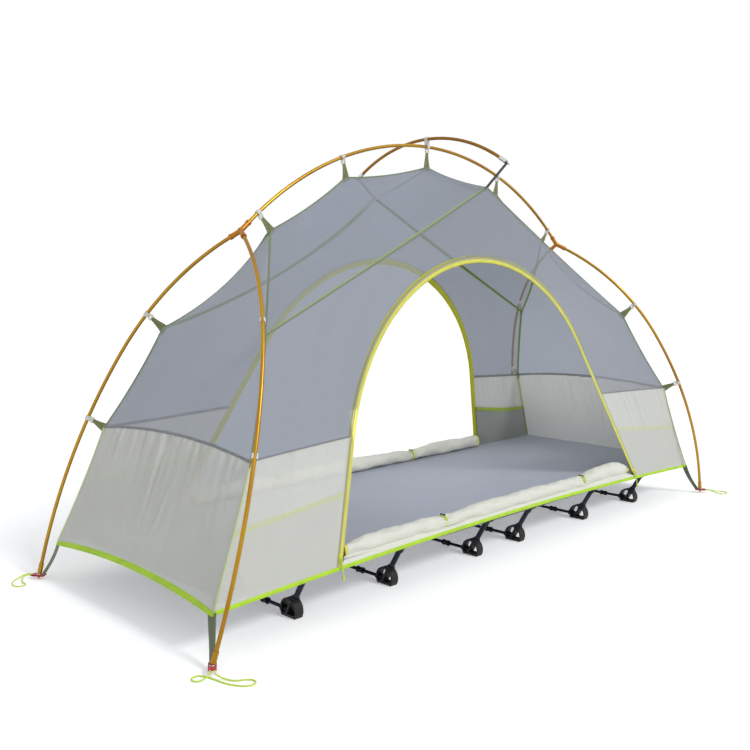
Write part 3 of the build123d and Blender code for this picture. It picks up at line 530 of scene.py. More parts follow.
# Roof quarters: up from a peak seam to the ridge, out from the cross seam. The far left one hangs slack
slack_place = (-1, 1)
roof = {place: panel(slack_seam if place == slack_place else peak_seam, ridge_half[::-1], cross_seam, crown)
        for place in corners}

# End net: from the seam up two hip chains that meet at the ridge
hip_chain = joined(hip_high, crown)
end_apex = np.repeat(ridge_end[None], 41, axis=0)
end_net = panel(end_seam(41), end_apex, flipped(hip_chain, y=-1), hip_chain)

# End lower panel
end_low_base = end_hem(np.linspace(-hip_low[0][1], hip_low[0][1], 201), binding_height)
end_low = panel(end_low_base, end_seam(201), flipped(hip_low, y=-1), hip_low)

# Door wall net: an arch-shaped band from the zip out to the hips and the peak seams


def side_seam(lean, count):
    """Seam between the net and the lower panel beside one side of the arch, on +X."""
    return hung(on_wall(door_x(lean, side_seam_z, zip_width), side_seam_z), low_hip, side_sag, count)


def door_wall(left_seam):
    """Net of the far wall, with its left peak seam."""
    left = flipped(joined(hip_high, left_seam[::-1]), x=-1)
    right = joined(hip_high, peak_seam[::-1])[::-1]
    seams = flipped(side_seam(slant_lean, 25), x=-1), side_seam(steep_lean, 25)
    return panel(arch(zip_width, side_seam_z, 49), joined(left, right), *seams)


walls = {"far": door_wall(slack_seam), "near": flipped(door_wall(peak_seam), -1, -1)}


def lower_panel(lean):
    """Lower side panel beside one side of the arch, on +X."""
    foot_x = door_x(lean, side_hem(door_half_width)[2] + binding_height, zip_width)
    base = side_hem(np.linspace(foot_x, hip_low[0][0], 97), binding_height)
    seam = side_seam(lean, 97)
    return panel(base, seam, np.linspace(base[0], seam[0], 33), hip_low)


def shares(grid):
    """How far along and up a panel its columns and rows are, from 0 to 1."""
    rows, columns = grid.shape[:2]
    return np.linspace(0, 1, columns)[None, :], np.linspace(0, 1, rows)[:, None]


def fade_in(share, rate):
    """Rises from 0 at both edges to 1."""
    return np.minimum(1, rate * np.minimum(share, 1 - share))


def gathers(grid, seed, depth, reach, pitch):
    """Small folds that run down from a gathered top seam and fade out."""
    draw = np.random.default_rng(seed)
    u, v = shares(grid)
    down = 1 - v
    width = norm(grid[-1, -1] - grid[-1, 0])
    fold = 0.0
    for _ in range(int(width / pitch)):
        place = draw.uniform(0.06, 0.94)
        lean = draw.uniform(-0.05, 0.05)
        narrow = draw.uniform(0.0045, 0.0095) / width
        fade = np.exp(-down / (reach * draw.uniform(0.4, 1.7)))
        fold += draw.uniform(-1, 1) * fade * np.exp(-(((u - place - lean * down) / narrow) ** 2))
    edge = fade_in(u, 8) * np.minimum(1, 12 * v) * np.minimum(1, 24 * down + 0.2)
    return raised(grid, depth * fold * edge)


def creases(grid, marks, depth):
    """Sharp single creases. A mark is its start and end in the panel's own u and v, and its height."""
    u, v = shares(grid)
    width = norm(grid[0, -1] - grid[0, 0])
    height = norm(grid[-1, 0] - grid[0, 0])
    fold = 0.0
    for (u0, v0), (u1, v1), size in marks:
        run = np.array(((u1 - u0) * width, (v1 - v0) * height))
        long = norm(run)
        x = (u - u0) * width
        y = (v - v0) * height
        along = np.clip((x * run[0] + y * run[1]) / long**2, 0, 1)
        off = np.sqrt((x - along * run[0]) ** 2 + (y - along * run[1]) ** 2)
        fold += size * np.exp(-((off / crease_width) ** 2)) * np.sin(pi * (0.1 + 0.8 * along))
    return raised(grid, depth * fold * fade_in(u, 12) * fade_in(v, 12))


crease_width = 0.0048
end_marks = [
    ((0.54, 0.99), (0.545, 0.52), 0.9), ((0.545, 0.52), (0.56, 0.3), 0.5), ((0.41, 0.72), (0.445, 0.19), 1.0),
    ((0.445, 0.19), (0.52, 0.12), 0.8), ((0.52, 0.12), (0.6, 0.13), 0.4), ((0.68, 0.98), (0.655, 0.6), -0.8),
    ((0.29, 0.97), (0.25, 0.66), -0.6), ((0.6, 0.96), (0.595, 0.66), 0.6), ((0.37, 0.55), (0.4, 0.3), 0.4)]
side_marks = [
    ((0.97, 0.34), (0.78, 0.10), 0.9), ((0.96, 0.24), (0.82, 0.05), -0.8), ((0.98, 0.15), (0.88, 0.04), 0.8),
    ((0.96, 0.62), (0.86, 0.40), 0.5), ((0.3, 0.96), (0.32, 0.62), 0.5), ((0.55, 0.97), (0.56, 0.6), -0.5)]
end_low = creases(gathers(end_low, 3, 0.0060, 0.26, 0.007), end_marks, 0.0034)
steep_low, slant_low = [
    creases(gathers(lower_panel(lean), seed, 0.0022, 0.34, 0.014), side_marks, 0.0030)
    for lean, seed in ((steep_lean, 8), (slant_lean, 9))]
side_low = {(x, y): steep_low if x == y else slant_low for x, y in corners}

roof_grids = [flipped(roof[place], *place) for place in corners]
roof_cloth = sheet_of("roof_net", roof_grids, roof_net, "roof_panels")
for end, x in tent_ends:
    cloth = sheet_of(f"{end}_end_net", [flipped(end_net, x)], painted_light_net, "end_wall_mesh")
    grids = [flipped(end_low, x)]
    cloth = sheet_of(f"{end}_end_lower_cloth", grids, lower_fabric, "end_lower_panels")
for side, y in sides:
    below = f"{side}_lower_panels"
    cloth = sheet_of(f"{side}_wall_net", [walls[side]], mesh_net, f"{side}_wall_mesh")
    for end, x in tent_ends:
        grids = [flipped(side_low[x, y], x, y)]
        cloth = sheet_of(f"{side}_{end}_lower_cloth", grids, side_fabric, below)


# Seams: tape inside the panels, more outside on the peak and end seams, piping on the hips and ridge

hip_tape, peak_tape, slack_tape, ridge_tape = 0.0045, 0.0055, 0.0125, 0.004
low_tape, outer_low_tape, tape_inset = 0.0045, 0.0022, 0.0006
piping_radius, low_piping_radius = 0.0012, 0.0021


def tape_strip(cloth, width, place=(1, 1), inset=tape_inset):
    """Strip of tape along a panel's first row, just inside the cloth, flipped to a corner."""
    edge = cloth[0]
    across = unit(cloth[1] - edge)
    normal = unit(np.cross(np.gradient(edge, axis=0), across))
    towards = np.sign(np.sum(normal * (tent_middle - edge), axis=1, keepdims=True))
    inner = normal * towards * inset
    return flipped(np.stack([edge + inner, edge + across * width + inner]), *place)


def from_left(grid):
    return grid.swapaxes(0, 1)


def from_right(grid):
    return grid[:, ::-1].swapaxes(0, 1)


def bead(line, radius):
    """Round piping along a seam."""
    along = unit(np.gradient(line, axis=0))
    out = line - tent_middle
    out = unit(out - along * np.sum(out * along, axis=1, keepdims=True))
    side = np.cross(along, out)
    turns = np.linspace(2 * pi, 0, 9)
    return np.array([line + radius * (cos(turn) * out + sin(turn) * side) for turn in turns])


def all_corners(grid):
    return [flipped(grid, *place) for place in corners]


seam_strips, low_strips, outer_strips, hip_strips = [], [], [], []
for place in corners:
    quarter, lower = roof[place], side_low[place]
    peak_width = slack_tape if place == slack_place else peak_tape
    seams = [(from_right(end_net), hip_tape), (quarter, peak_width), (from_left(quarter), ridge_tape),
             (quarter[::-1], ridge_tape), (from_right(quarter), hip_tape)]
    seam_strips += [tape_strip(seam, width, place) for seam, width in seams]
    outer_strips.append(tape_strip(quarter, peak_tape, place, -tape_inset))
    hip_strips += [tape_strip(from_right(cloth), hip_tape, place) for cloth in (end_low, lower)]
    low_strips.append(tape_strip(lower[::-1], low_tape, place))
for side, wall in walls.items():
    left_tape = slack_tape if side == "far" else peak_tape
    counts = (len(hip_high), len(peak_seam) - 1, len(peak_seam) - 1, len(hip_high) - 1)
    widths = np.repeat((hip_tape, left_tape, peak_tape, hip_tape), counts)[:, None]
    seam_strips.append(tape_strip(wall[::-1], widths))
    low_strips += [tape_strip(seam, low_tape) for seam in (from_left(wall), from_right(wall))]
for place in ((1, 1), (-1, 1)):
    low_strips += [tape_strip(seam, low_tape, place) for seam in (end_low[::-1], end_net)]
    low_strips.append(tape_strip(end_low[::-1], outer_low_tape, place, -tape_inset))
sheet_of("seam_tape", seam_strips, olive_tape)
sheet_of("outer_peak_seam_tape", outer_strips, lime_olive_tape)
sheet_of("low_hip_tape", hip_strips, lime_hem)
sheet_of("lower_seam_tape", low_strips, grey_tape)

ridge_line = joined(ridge_half, flipped(ridge_half, x=-1)[::-1])
beads = all_corners(bead(hip_chain, piping_radius)) + [bead(ridge_line, piping_radius)]
sheet_of("seam_piping", beads, olive_piping, faces_out=False)
low_beads = all_corners(bead(hip_low, low_piping_radius))
sheet_of("low_hip_piping", low_beads, pale_piping, faces_out=False)


# Base binding: a folded tape all round the floor


def base_loop(above, proud, side_count=97, end_count=41):
    """Closed line round the hem, or above it, from the near left corner along the near side."""
    hip = hip_at(corner[2] + above)
    near = flipped(side_hem(np.linspace(-hip[0], hip[0], side_count), above, proud), y=-1)
    places = np.linspace(-hip[1], hip[1], end_count)
    fuller = 1 + end_fullness * (1 - (places / hip[1]) ** 6)
    end = end_hem(places, above * fuller, proud)[1:-1]
    return np.concatenate([near, end, flipped(near, -1, -1), flipped(end, -1, -1), near[:1]])


end_fullness = 0.35
binding_profile = [
    (0.0006, -0.004), (-0.0008, -0.0006), (-0.0006, 0.0008), (0.0013, 0.0016), (0.0042, 0.0018),
    (0.0066, 0.0015), (0.0078, 0.0009), (0.0082, 0.0002), (0.0076, -0.0006)]
binding_grid = np.array([base_loop(above, proud) for above, proud in binding_profile])
sheet_of("base_binding_tape", [binding_grid], lime_binding, "base_binding")


# Door zips: a tape with its piped edge, an outer facing, a backing inside and a row of teeth

zip_profile = [(-0.0010, 0.0004), (-0.0005, 0.0018), (0.0010, 0.0024), (0.0034, 0.0022), (0.0052, 0.0016),
               (0.0062, 0.0012)]
facing_profile = [(0.0060, 0.0011), (0.0080, 0.0014), (0.0100, 0.0012), (0.0114, 0.0004)]
backing_profile = [(0.0002, -0.0008), (0.0060, -0.0012), (0.0120, -0.0012), (0.0165, -0.0010)]
zip_low_z, doorway_z = 0.1035, 0.3
tooth_size, tooth_taper = (0.0034, 0.0019, 0.0020), 0.55
teeth_count, teeth_margin, teeth_proud, teeth_rise = 330, -0.0014, 0.0012, 0.02


def zip_band(profile, y):
    grid = np.array([arch(margin, zip_low_z, 141, proud) for margin, proud in profile])
    return flipped(grid, y, y)


def primitive(operator, name, material, **settings):
    """One of Blender's own shapes, selected, with its place and turn applied."""
    bpy.ops.object.select_all(action="DESELECT")
    operator(**settings)
    bpy.ops.object.transform_apply(location=True, rotation=True, scale=True)
    piece = bpy.context.object
    piece.name = piece.data.name = name
    piece.data.materials.append(material)
    return piece


def bevel(piece, width, segments):
    soften = piece.modifiers.new("edge", "BEVEL")
    soften.width = width
    soften.segments = segments
    bpy.ops.object.modifier_apply(modifier=soften.name)


def zip_tooth():
    """One tooth of the zip: a small block, narrowed towards the doorway."""
    tooth = primitive(bpy.ops.mesh.primitive_cube_add, "zip_tooth", zip_teeth, size=1.0)
    tooth.scale = tooth_size
    bpy.ops.object.transform_apply(scale=True)
    for vertex in tooth.data.vertices:
        if vertex.co.x < 0:
            vertex.co.y *= tooth_taper
    bevel(tooth, width=0.0003, segments=1)
    return tooth


def teeth_row(name, y):
    """Teeth of the half zip that stays on the wall, along the inside of the arch."""
    tooth = zip_tooth()
    shape = np.array([vertex.co for vertex in tooth.data.vertices])
    outlines = [tuple(face.vertices) for face in tooth.data.polygons]
    bpy.data.objects.remove(tooth)
    line = arch(teeth_margin, zip_low_z + teeth_rise, teeth_count, teeth_proud)
    normal = unit(np.array((0, 1.0, wall_lean)))
    points, faces = [], []
    for place, run in zip(line, unit(np.gradient(line, axis=0))):
        out = np.cross(normal, run)
        out = out if out @ (place - np.array((0, place[1], doorway_z))) > 0 else -out
        turn = np.array((out, np.cross(normal, out), normal))
        start = len(points)
        points += [tuple((place + point @ turn) * (y, y, 1)) for point in shape]
        faces += [tuple(start + index for index in outline) for outline in outlines]
    teeth = new_piece(name, points, faces, zip_teeth)
    edit_all(bpy.ops.mesh.normals_make_consistent, inside=False)
    return mounted(teeth)


for side, y in sides:
    sheet_of(f"{side}_zip_tape", [zip_band(zip_profile, y)], yellow_zip, f"{side}_door_zip")
    sheet_of(f"{side}_zip_facing", [zip_band(facing_profile, y)], zip_edge)
    sheet_of(f"{side}_zip_backing", [zip_band(backing_profile, y)], zip_backing)
    teeth_row(f"{side}_zip_teeth", y)


# Corner pockets inside, with a lime hem

pocket_inset, pocket_belly, pocket_lift = 0.0065, 0.006, 0.001
pocket_door_gap, pocket_hip_gap, hem_inset = 0.0035, 0.014, 0.0010


def pocket(lean):
    """Pocket beside one side of the arch, on +X: from the floor to its slack hem, a little bellied."""
    place, height = np.meshgrid(np.linspace(0, 1, 25), np.linspace(0, 1, 13))
    top = pocket_top + hem_rise * (1 - place) - hem_drop * place - hem_sag * np.sin(pi * place)
    z = sheet_top + pocket_lift + (top - sheet_top - pocket_lift) * height
    door_side = door_x(lean, z, zip_width + pocket_door_gap)
    hip_side = hip_at(z)[..., 0] - pocket_hip_gap
    inside = pocket_inset + pocket_belly * np.sin(pi * height) * np.sin(pi * place)
    return on_wall(door_side + (hip_side - door_side) * place, z, -inside)


pocket_grids, hem_grids = [], []
for x, y in corners:
    grid = flipped(pocket(steep_lean if x == y else slant_lean), x, y)
    pocket_grids.append(grid)
    hem = np.stack([grid[-1], grid[-1] - np.array((0, 0, hem_width))])
    inset = np.array((0, -hem_inset * y, 0))
    hem_grids += [hem + inset, hem - inset]
pockets = sheet_of("corner_pocket_cloth", pocket_grids, pocket_fabric, "corner_pockets")
sheet_of("corner_pocket_hems", hem_grids, lime_hem)


# Bed sheet: stretched between the rails, a little slack in the middle

bed_drop, bed_slack, bed_ripple = 0.0002, 0.004, 0.0011
row, column = np.meshgrid(np.linspace(-1, 1, 61), np.linspace(-1, 1, 161), indexing="ij")
x, y = column * sheet_half_length, row * sheet_half_width
dip = bed_slack * (1 - row**2) * (1 - column**4)
ripple = bed_ripple * np.sin(x * 23 + 2 * y) * np.sin(y * 31) * (1 - row**6)
bed_grid = np.stack([x, y, sheet_top - bed_drop - dip + ripple], axis=2)
bed = sheet_of("bed_cloth", [bed_grid], bed_fabric, "bed_sheet", faces_out=False)


# Rail sleeves: cloth tubes hung from the sheet, open at the leg clips

leg_x = (-0.700, -0.410, -0.092, 0.092, 0.410, 0.700)
sleeve_limit = 0.908
sleeve_radius, sleeve_ripple, sleeve_seam = 0.0084, 0.0004, 0.0016
notch = 0.015
starts = [-sleeve_limit] + [x + notch for x in leg_x]
stops = [x - notch for x in leg_x] + [sleeve_limit]
turns = np.linspace(radians(62), radians(62 + 56) - 2 * pi, 25)
sleeve_grids = []
for start, stop in zip(starts, stops):
    rows = []
    for x in np.linspace(start, stop, 9):
        soft = sleeve_radius + sleeve_ripple * sin(x * 140)
        round_rail = [(x, rail_y + soft * cos(turn), rail_z + soft * sin(turn)) for turn in turns]
        seams = [(x, rail_y + out, sheet_top - sleeve_seam) for out in (sleeve_seam, -sleeve_seam)]
        rows.append([seams[0], *round_rail, seams[1]])
    sleeve_grids += [np.array(rows), flipped(np.array(rows), y=-1)]
sleeves = sheet_of(
    "rail_sleeve_cloth", sleeve_grids, sleeve_fabric, "rail_sleeves", faces_out=False)


# Rolled-up doors: wound cloth that swells between its ties

roll_turns = 6
roll_shrink = 0.80
winding = np.linspace(2 * pi * roll_turns, -radians(50), 40 * roll_turns + 6)
outer_turn = winding[-46:]
# Height of each set of lumps, its waves along and round the roll, and its phase
roll_lumps = ((0.0014, 31, 2, 0), (0.0010, 67, -3, 1), (0.0008, 12, 1, 2), (0.0006, 140, 5, 4))
pucker, pucker_reach, pucker_waves, pucker_phase = 0.0012, 0.035, 13, 3
roll_gap, zip_proud = 0.0004, 0.0007
sill_inset, sill_tuck, sill_proud, sill_stand = 0.004, 0.0012, 0.0002, 0.008


def roll_size(x, side):
    """Radius of a roll at a place along it, drawn in at its ties and ends, and the most it may reach."""
    neck = roll_neck[side]
    places = (roll_ends[0], *tie_x[side], roll_ends[1])
    narrow = list(zip(places, (roll_end[side][0], neck, neck, roll_end[side][1])))
    for full, (x0, r0), (x1, r1) in zip(roll_radius[side], narrow, narrow[1:]):
        if x <= x1:
            along = (2 * x - x0 - x1) / (x1 - x0)
            shoulder = end_shoulder[side] if x < tie_x[side][0] and along < 0 else tie_shoulder
            return full - (full - (r0 if along < 0 else r1)) * abs(along) ** shoulder, full
    return narrow[-1][1], full


def roll_line(x, side, phase, angles, proud=0.0):
    """A roll's cloth at one place, as on the far side: wound, lumpy and lying on the sheet."""
    size, most = roll_size(x, side)
    near_tie = sum(np.exp(-(((x - tie) / pucker_reach) ** 2)) for tie in tie_x[side])
    depth = angles / (2 * pi * roll_turns)
    lump = near_tie * pucker * np.sin(pucker_waves * angles + phase[pucker_phase])
    for height, along, around, which in roll_lumps:
        lump += height * np.sin(x * along + around * angles + phase[which])
    radius = np.minimum(size * (1 - roll_shrink * depth) + lump * (1 - depth), most) + proud
    z = sheet_top + size + np.maximum(radius * np.sin(angles), roll_gap - size)
    return np.stack([np.full(len(angles), x), roll_y + radius * np.cos(angles), z], axis=1)


def sill_line(top, x):
    """The foot of the far door, from the outer side of its roll down into the binding."""
    spread = x * (door_half_width - sill_inset) / (roll_ends[1] if x > 0 else -roll_ends[0])
    foot = side_hem(spread, binding_height - sill_tuck, sill_proud)
    above = np.array(((top[0] + foot[0]) / 2, foot[1] - wall_lean * sill_stand, foot[2] + sill_stand))
    t = np.linspace(0, 1, 9)[1:, None]
    return (1 - t) ** 2 * top + 2 * t * (1 - t) * above + t**2 * foot


for side, y, seed in (("far", 1, 5), ("near", -1, 11)):
    phase = np.random.default_rng(seed).uniform(0, 2 * pi, 8)
    rows = []
    for x in np.linspace(*roll_ends, 181):
        line = roll_line(x, side, phase, winding)
        rows.append(np.concatenate([line, sill_line(line[-1], x)]))
    roll = sheet_of(f"{side}_rolled_door", [flipped(np.array(rows), y, y)], roll_fabric,
                    f"{side}_door_roll", faces_out=False)
    zip_halves = []
    for end, stretch in zip(roll_ends, zip_stretch[side]):
        places = end + np.linspace(*stretch, 9)
        lines = [roll_line(x, side, phase, outer_turn, zip_proud) for x in places]
        zip_halves.append(flipped(np.array(lines), y, y))
    sheet_of(f"{side}_rolled_zip", zip_halves, yellow_zip, faces_out=False)


def ring(name, major, minor, place, turn, material):
    """Closed ring of cord or metal."""
    piece = primitive(
        bpy.ops.mesh.primitive_torus_add, name, material, major_radius=major, minor_radius=minor,
        major_segments=48, minor_segments=10, location=place, rotation=turn)
    bpy.ops.object.shade_smooth()
    return piece


toggle_radius, toggle_length, toggle_waist, waist_half = 0.0024, 0.014, 0.62, 0.0025
tie_radius, tie_gap, tie_lift, tie_spread, toggle_lift = 0.0013, 0.001, 0.0012, 0.0026, 0.0038


def toggle(name, place):
    """Small barrel toggle that holds a roll tie: a waisted peg across the roll."""
    piece = primitive(
        bpy.ops.mesh.primitive_cylinder_add, name, black_plastic, vertices=20, radius=toggle_radius,
        depth=toggle_length, location=place, rotation=(pi / 2, 0, 0))
    for shift in (-waist_half, waist_half):
        edit_all(bpy.ops.mesh.bisect, plane_co=(place[0], place[1] + shift, place[2]), plane_no=(0, 1, 0))
    for vertex in piece.data.vertices:
        if abs(vertex.co.y - place[1]) < waist_half * 1.2:
            vertex.co.x = place[0] + (vertex.co.x - place[0]) * toggle_waist
            vertex.co.z = place[2] + (vertex.co.z - place[2]) * toggle_waist
    bevel(piece, width=0.0006, segments=3)
    bpy.ops.object.shade_smooth_by_angle(angle=radians(40))
    return piece


tie_pieces = []
for side, y in sides:
    neck = roll_neck[side]
    for end, x in zip(("left", "right"), sorted(y * x for x in tie_x[side])):
        for number, shift in enumerate((-tie_spread, tie_spread)):
            place = (x + shift, y * roll_y, sheet_top + neck + tie_lift)
            tie_pieces.append(ring(
                f"{side}_{end}_tie_{number}", neck + tie_gap, tie_radius, place, (0, pi / 2, 0), lime_cord))
        place = (x, y * roll_y, sheet_top + 2 * neck + toggle_lift)
        tie_pieces.append(toggle(f"{side}_{end}_tie_toggle", place))
for piece in tie_pieces:
    mounted(piece)
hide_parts("roll_ties")


# Webbing straps and tabs

strap_thickness, tab_thickness = 0.0016, 0.0013
steps = np.linspace(0, 1, 13)
x_axis, z_axis = np.array((1.0, 0, 0)), np.array((0, 0, 1.0))


def strap(points, across, widths):
    """Grid of a strap along a line of points, five points wide, with its width along across."""
    shifts = np.linspace(-0.5, 0.5, 5)[:, None] * widths
    return points + across * shifts[:, :, None]


def webbing(name, grids, thickness, material, node):
    """Straps with a real thickness."""
    piece = sheet_of(name, grids, material, node, faces_out=False)
    wall = piece.modifiers.new("wall", "SOLIDIFY")
    wall.thickness = thickness
    wall.offset = 0
    bpy.ops.object.modifier_apply(modifier=wall.name)
    bpy.ops.object.shade_smooth_by_angle(angle=radians(35))


# Clips: a point on the pole, the pole's direction there and the tent's point
stations = [
    ((0.0, 0.0, 1.0720), (1.0, 0.0, 0.0), ridge_top),
    ((0.3170, 0.0, 1.01612), (-0.93972, 0.0, 0.34195), ridge_mid),
    ((0.5820, 0.0, 0.86654), (-0.77837, 0.0, 0.62780), ridge_end),
    ((0.74754, 0.22451, 0.63001), (0.36887, 0.52455, -0.76732), high_hip),
    ((0.85278, 0.33056, 0.37907), (-0.34565, -0.23306, 0.90896), low_hip),
]
eye_reach, sewn_length, strap_bow = 0.0128, 0.010, 0.0012
strap_width, strap_spread = 0.010, 0.013


def clip_strap(pole, along, tent):
    """Strap looped through a clip's eye and widening down to the tent, sewn on at its end."""
    pole, along = np.array(pole), np.array(along)
    inward = tent - pole
    eye = pole + unit(inward - along * (inward @ along)) * eye_reach
    run = unit(tent - eye)
    bow = np.cross(along, run) * (strap_bow * np.sin(pi * steps))[:, None]
    points = np.linspace(eye, tent + run * sewn_length, len(steps)) + bow
    widths = strap_width + strap_spread * np.clip((steps - 0.15) / 0.7, 0, 1) ** 1.2
    return strap(points, along, widths)


strap_grids = []
for station in stations:
    grid = clip_strap(*station)
    xs, ys = [(1, -1) if abs(place) > 0.01 else (1,) for place in station[2][:2]]
    strap_grids += [flipped(grid, x, y) for x in xs for y in ys]
webbing("clip_strap_webbing", strap_grids, strap_thickness, olive_webbing, "clip_straps")

# Elastic from the cross pole's tips to the side peaks
cross_axis = np.array((0.0, 0.846627, -0.532188))
cross_turn = 0.5612
loop_radius, loop_thickness, loop_reach = 0.0040, 0.0014, 0.0063
elastic_width, sewn_width, peak_sewn = 0.010, 0.013, 0.012
pin_middle = np.array((0.0, 0.268, 1.010)) + cross_axis * loop_reach
peak_end = side_peak + unit(side_peak - pin_middle) * peak_sewn
elastic_line = np.linspace(pin_middle, peak_end, len(steps))
elastic_grid = strap(elastic_line, x_axis, np.where(steps > 0.85, sewn_width, elastic_width))
webbing("cross_pole_elastic", [elastic_grid, flipped(elastic_grid, y=-1)], strap_thickness,
        black_elastic, "cross_pole_straps")
for side, y in sides:
    place, turn = tuple(flipped(pin_middle, y=y)), (pi / 2 + y * cross_turn, 0, 0)
    loop = ring(f"{side}_cross_pole_loop", loop_radius, loop_thickness, place, turn, black_elastic)
    mounted(loop)

# Corner straps, and tabs folded over with an eyelet
tab_middle = np.array((0.97743, 0.358448, 0.010))
tab_out = np.array((0.580782, 0.814059, 0.0))
tab_across = np.array((-0.814059, 0.580782, 0.0))
tab_width = 0.016
corner_wide, corner_narrow, corner_twist, corner_bow = 0.020, 0.014, 0.7, 0.004
top_rise, top_inset, low_lift, low_inset = 0.004, 0.006, 0.0024, 0.011
eyelet_radius, eyelet_thickness, eyelet_lift = 0.0044, 0.0011, 0.0022
strap_top = corner + z_axis * top_rise - tab_out * top_inset
strap_low = tab_middle + z_axis * low_lift - tab_out * low_inset
corner_line = np.linspace(strap_top, strap_low, len(steps))
corner_line = corner_line - tab_out * (corner_bow * np.sin(pi * steps))[:, None]
corner_widths = corner_wide + (corner_narrow - corner_wide) * np.minimum(1, steps * 1.3)
twisted = np.cross(unit(strap_low - strap_top), tab_across)
corner_across = tab_across * cos(corner_twist) + twisted * sin(corner_twist)
corner_grid = strap(corner_line, corner_across, corner_widths)
webbing("corner_strap_webbing", all_corners(corner_grid), strap_thickness,
        grey_webbing, "corner_straps")

half_fold = [(-0.0145, 0.0012), (-0.008, 0.0014), (0.0, 0.0013), (0.010, 0.0014), (0.0165, 0.0011)]
tab_fold = half_fold + [(0.0182, 0.0)] + [(out, -up) for out, up in half_fold[::-1]]
tab_line = np.array([tab_middle + tab_out * out + z_axis * up for out, up in tab_fold])
tab_grid = strap(tab_line, tab_across, np.full(len(tab_fold), tab_width))
webbing("corner_tab_webbing", all_corners(tab_grid), tab_thickness, red_webbing, "corner_tabs")
for side, y in sides:
    for end, x in tent_ends:
        place = tuple(flipped(tab_middle, x, y) + z_axis * eyelet_lift)
        eyelet = ring(
            f"{side}_{end}_tab_eyelet", eyelet_radius, eyelet_thickness, place, (0, 0, 0), bright_metal)
        mounted(eyelet)


# Peg loops of cord, as points of their routes. A point without a height lies on the ground.

cord_diameter = 0.003
cord_ground = 0.0017


def cord(name, route):
    """Loop of cord from the tab's edge over the ground and back."""
    curve = bpy.data.curves.new(name, "CURVE")
    curve.dimensions = "3D"
    curve.bevel_depth = cord_diameter / 2
    curve.bevel_resolution = 4
    curve.resolution_u = 12
    spline = curve.splines.new("NURBS")
    spline.points.add(len(route) - 1)
    for point, place in zip(spline.points, route):
        x, y, z = place if len(place) == 3 else (*place, cord_ground)
        point.co = (x, y, z, 1)
    spline.order_u = 3
    spline.use_endpoint_u = True
    curve.materials.append(lime_cord)
    piece = bpy.data.objects.new(name, curve)
    scene.collection.objects.link(piece)
    mounted(piece, name.replace("_cord", ""))


cord("peg_loop_near_left_cord", [
    (-0.9917, -0.3716, 0.01), (-0.9981, -0.3805, 0.01), (-1.009, -0.3838, 0.0055), (-1.0211, -0.3801),
    (-1.0288, -0.3685), (-1.0215, -0.3565), (-1.0068, -0.3583), (-1.0003, -0.3716),
    (-0.9964, -0.3867), (-0.9941, -0.4043), (-0.9905, -0.4216), (-0.9838, -0.4362),
    (-0.9751, -0.4498), (-0.9637, -0.4579), (-0.9491, -0.4548), (-0.9465, -0.4407),
    (-0.9575, -0.4304), (-0.9693, -0.4245), (-0.9773, -0.4151), (-0.9828, -0.4038, 0.003),
    (-0.9889, -0.3969, 0.0065), (-0.9922, -0.386, 0.01), (-0.9852, -0.3762, 0.01)])
cord("peg_loop_far_left_cord", [
    (-0.9852, 0.3762, 0.01), (-0.9922, 0.386, 0.01), (-1.0038, 0.3937, 0.0055), (-1.0179, 0.391),
    (-1.0303, 0.3809), (-1.0396, 0.3681), (-1.0444, 0.3524), (-1.0411, 0.3376),
    (-1.0271, 0.3316), (-1.0168, 0.3414), (-1.0203, 0.3549), (-1.0146, 0.3675),
    (-1.0103, 0.3804, 0.0055), (-0.9987, 0.3814, 0.01), (-0.9917, 0.3716, 0.01)])
cord("peg_loop_near_right_cord", [
    (0.9917, -0.3716, 0.01), (0.9987, -0.3814, 0.01), (1.0111, -0.3885, 0.0045), (1.028, -0.3949),
    (1.0389, -0.4067), (1.0363, -0.4221), (1.0231, -0.4328), (1.0067, -0.4322),
    (0.9966, -0.4197), (0.9938, -0.402, 0.0045), (0.9922, -0.386, 0.01), (0.9852, -0.3762, 0.01)])
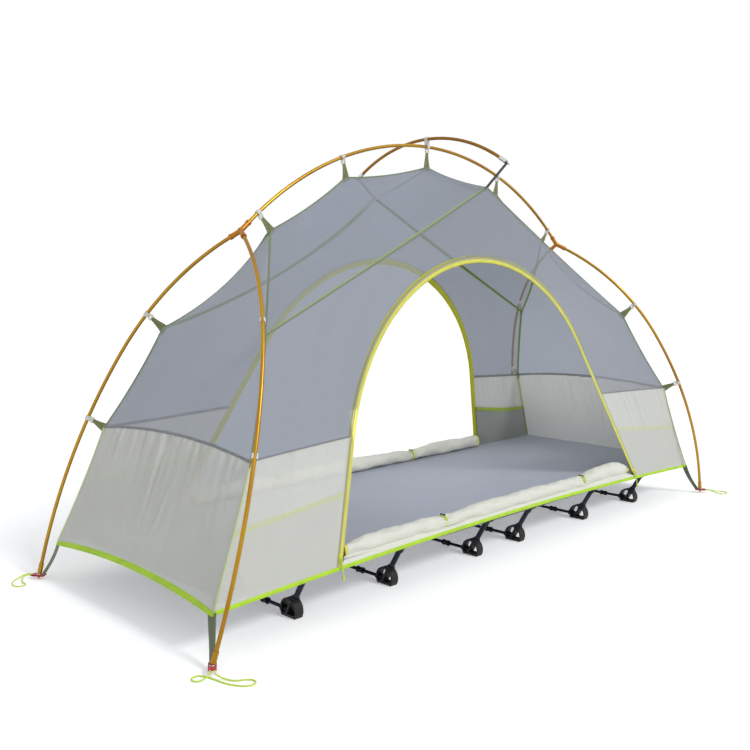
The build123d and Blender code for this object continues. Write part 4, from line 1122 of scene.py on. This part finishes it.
cord("peg_loop_far_right_cord", [
    (0.9917, 0.3716, 0.01), (0.9987, 0.3814, 0.01), (1.0087, 0.3902, 0.0045), (1.0223, 0.3989),
    (1.033, 0.4122), (1.0338, 0.4288), (1.0225, 0.4405), (1.0071, 0.438),
    (0.9987, 0.4244), (0.9962, 0.4089, 0.0018), (0.9947, 0.3965, 0.0045), (0.9922, 0.386, 0.01),
    (0.9852, 0.3762, 0.01)])


# Floor, light and camera


def placed(name, data, location, turn):
    """New lamp or camera, with its turn in degrees."""
    made = bpy.data.objects.new(name, data)
    made.location = location
    made.rotation_euler = [radians(angle) for angle in turn]
    scene.collection.objects.link(made)
    return made


# Painted shade: where a ray has come through a net, the backdrop and the floor show this grey instead of
# white.
painted_shade_behind_net = (0.32, 0.35, 0.40)
white, black = (1, 1, 1), (0, 0, 0)
scene.world = bpy.data.worlds.new("studio")
sky = Look(scene.world, shader="Background")
direct, through = sky.seen()
sky.feed(color=sky.mix(direct, (0.60, 0.61, 0.63), sky.mix(through, white, painted_shade_behind_net)))

pale = finish("pale_floor", roughness=0.9, emission_strength=1.0, specular_ior_level=0.0)
direct, through = pale.seen()
# Floor seen through a net: flat painted shade, unlit; seen directly: a plain glow that keeps it white.
glow = pale.mix(through, (0.30, 0.30, 0.30), painted_shade_behind_net)
pale.feed(base_color=pale.mix(pale.maths("MULTIPLY", direct, through), (0.90, 0.90, 0.90), black),
          emission_color=pale.mix(direct, black, glow))
floor = primitive(bpy.ops.mesh.primitive_circle_add, "studio_floor", pale.owner,
                  vertices=96, radius=14.0, fill_type="NGON", location=(0, 0, -0.0002))

sun = bpy.data.lights.new("key", "SUN")
sun.energy = 1.5
sun.angle = radians(14)
placed("key", sun, (0, 0, 0), (50, 0, 14))

fill = bpy.data.lights.new("inside_fill", "AREA")
fill.shape = "RECTANGLE"
fill.size, fill.size_y = 0.40, 0.24
fill.spread = radians(44)
fill.energy = 0.52
fill_lamp = placed("inside_fill", fill, (-0.58, -0.12, 0.31), (91, 0, -80))
fill_lamp.visible_camera = False
fill_lamp.visible_glossy = False

lens = bpy.data.cameras.new("view")
lens.lens = 43.25
lens.sensor_width = 36.0
scene.camera = placed("view", lens, (-1.8811, -1.6904, 0.7202), (83.735, 0, -44.82))
scene.view_settings.view_transform = "Standard"

bpy.context.view_layer.update()
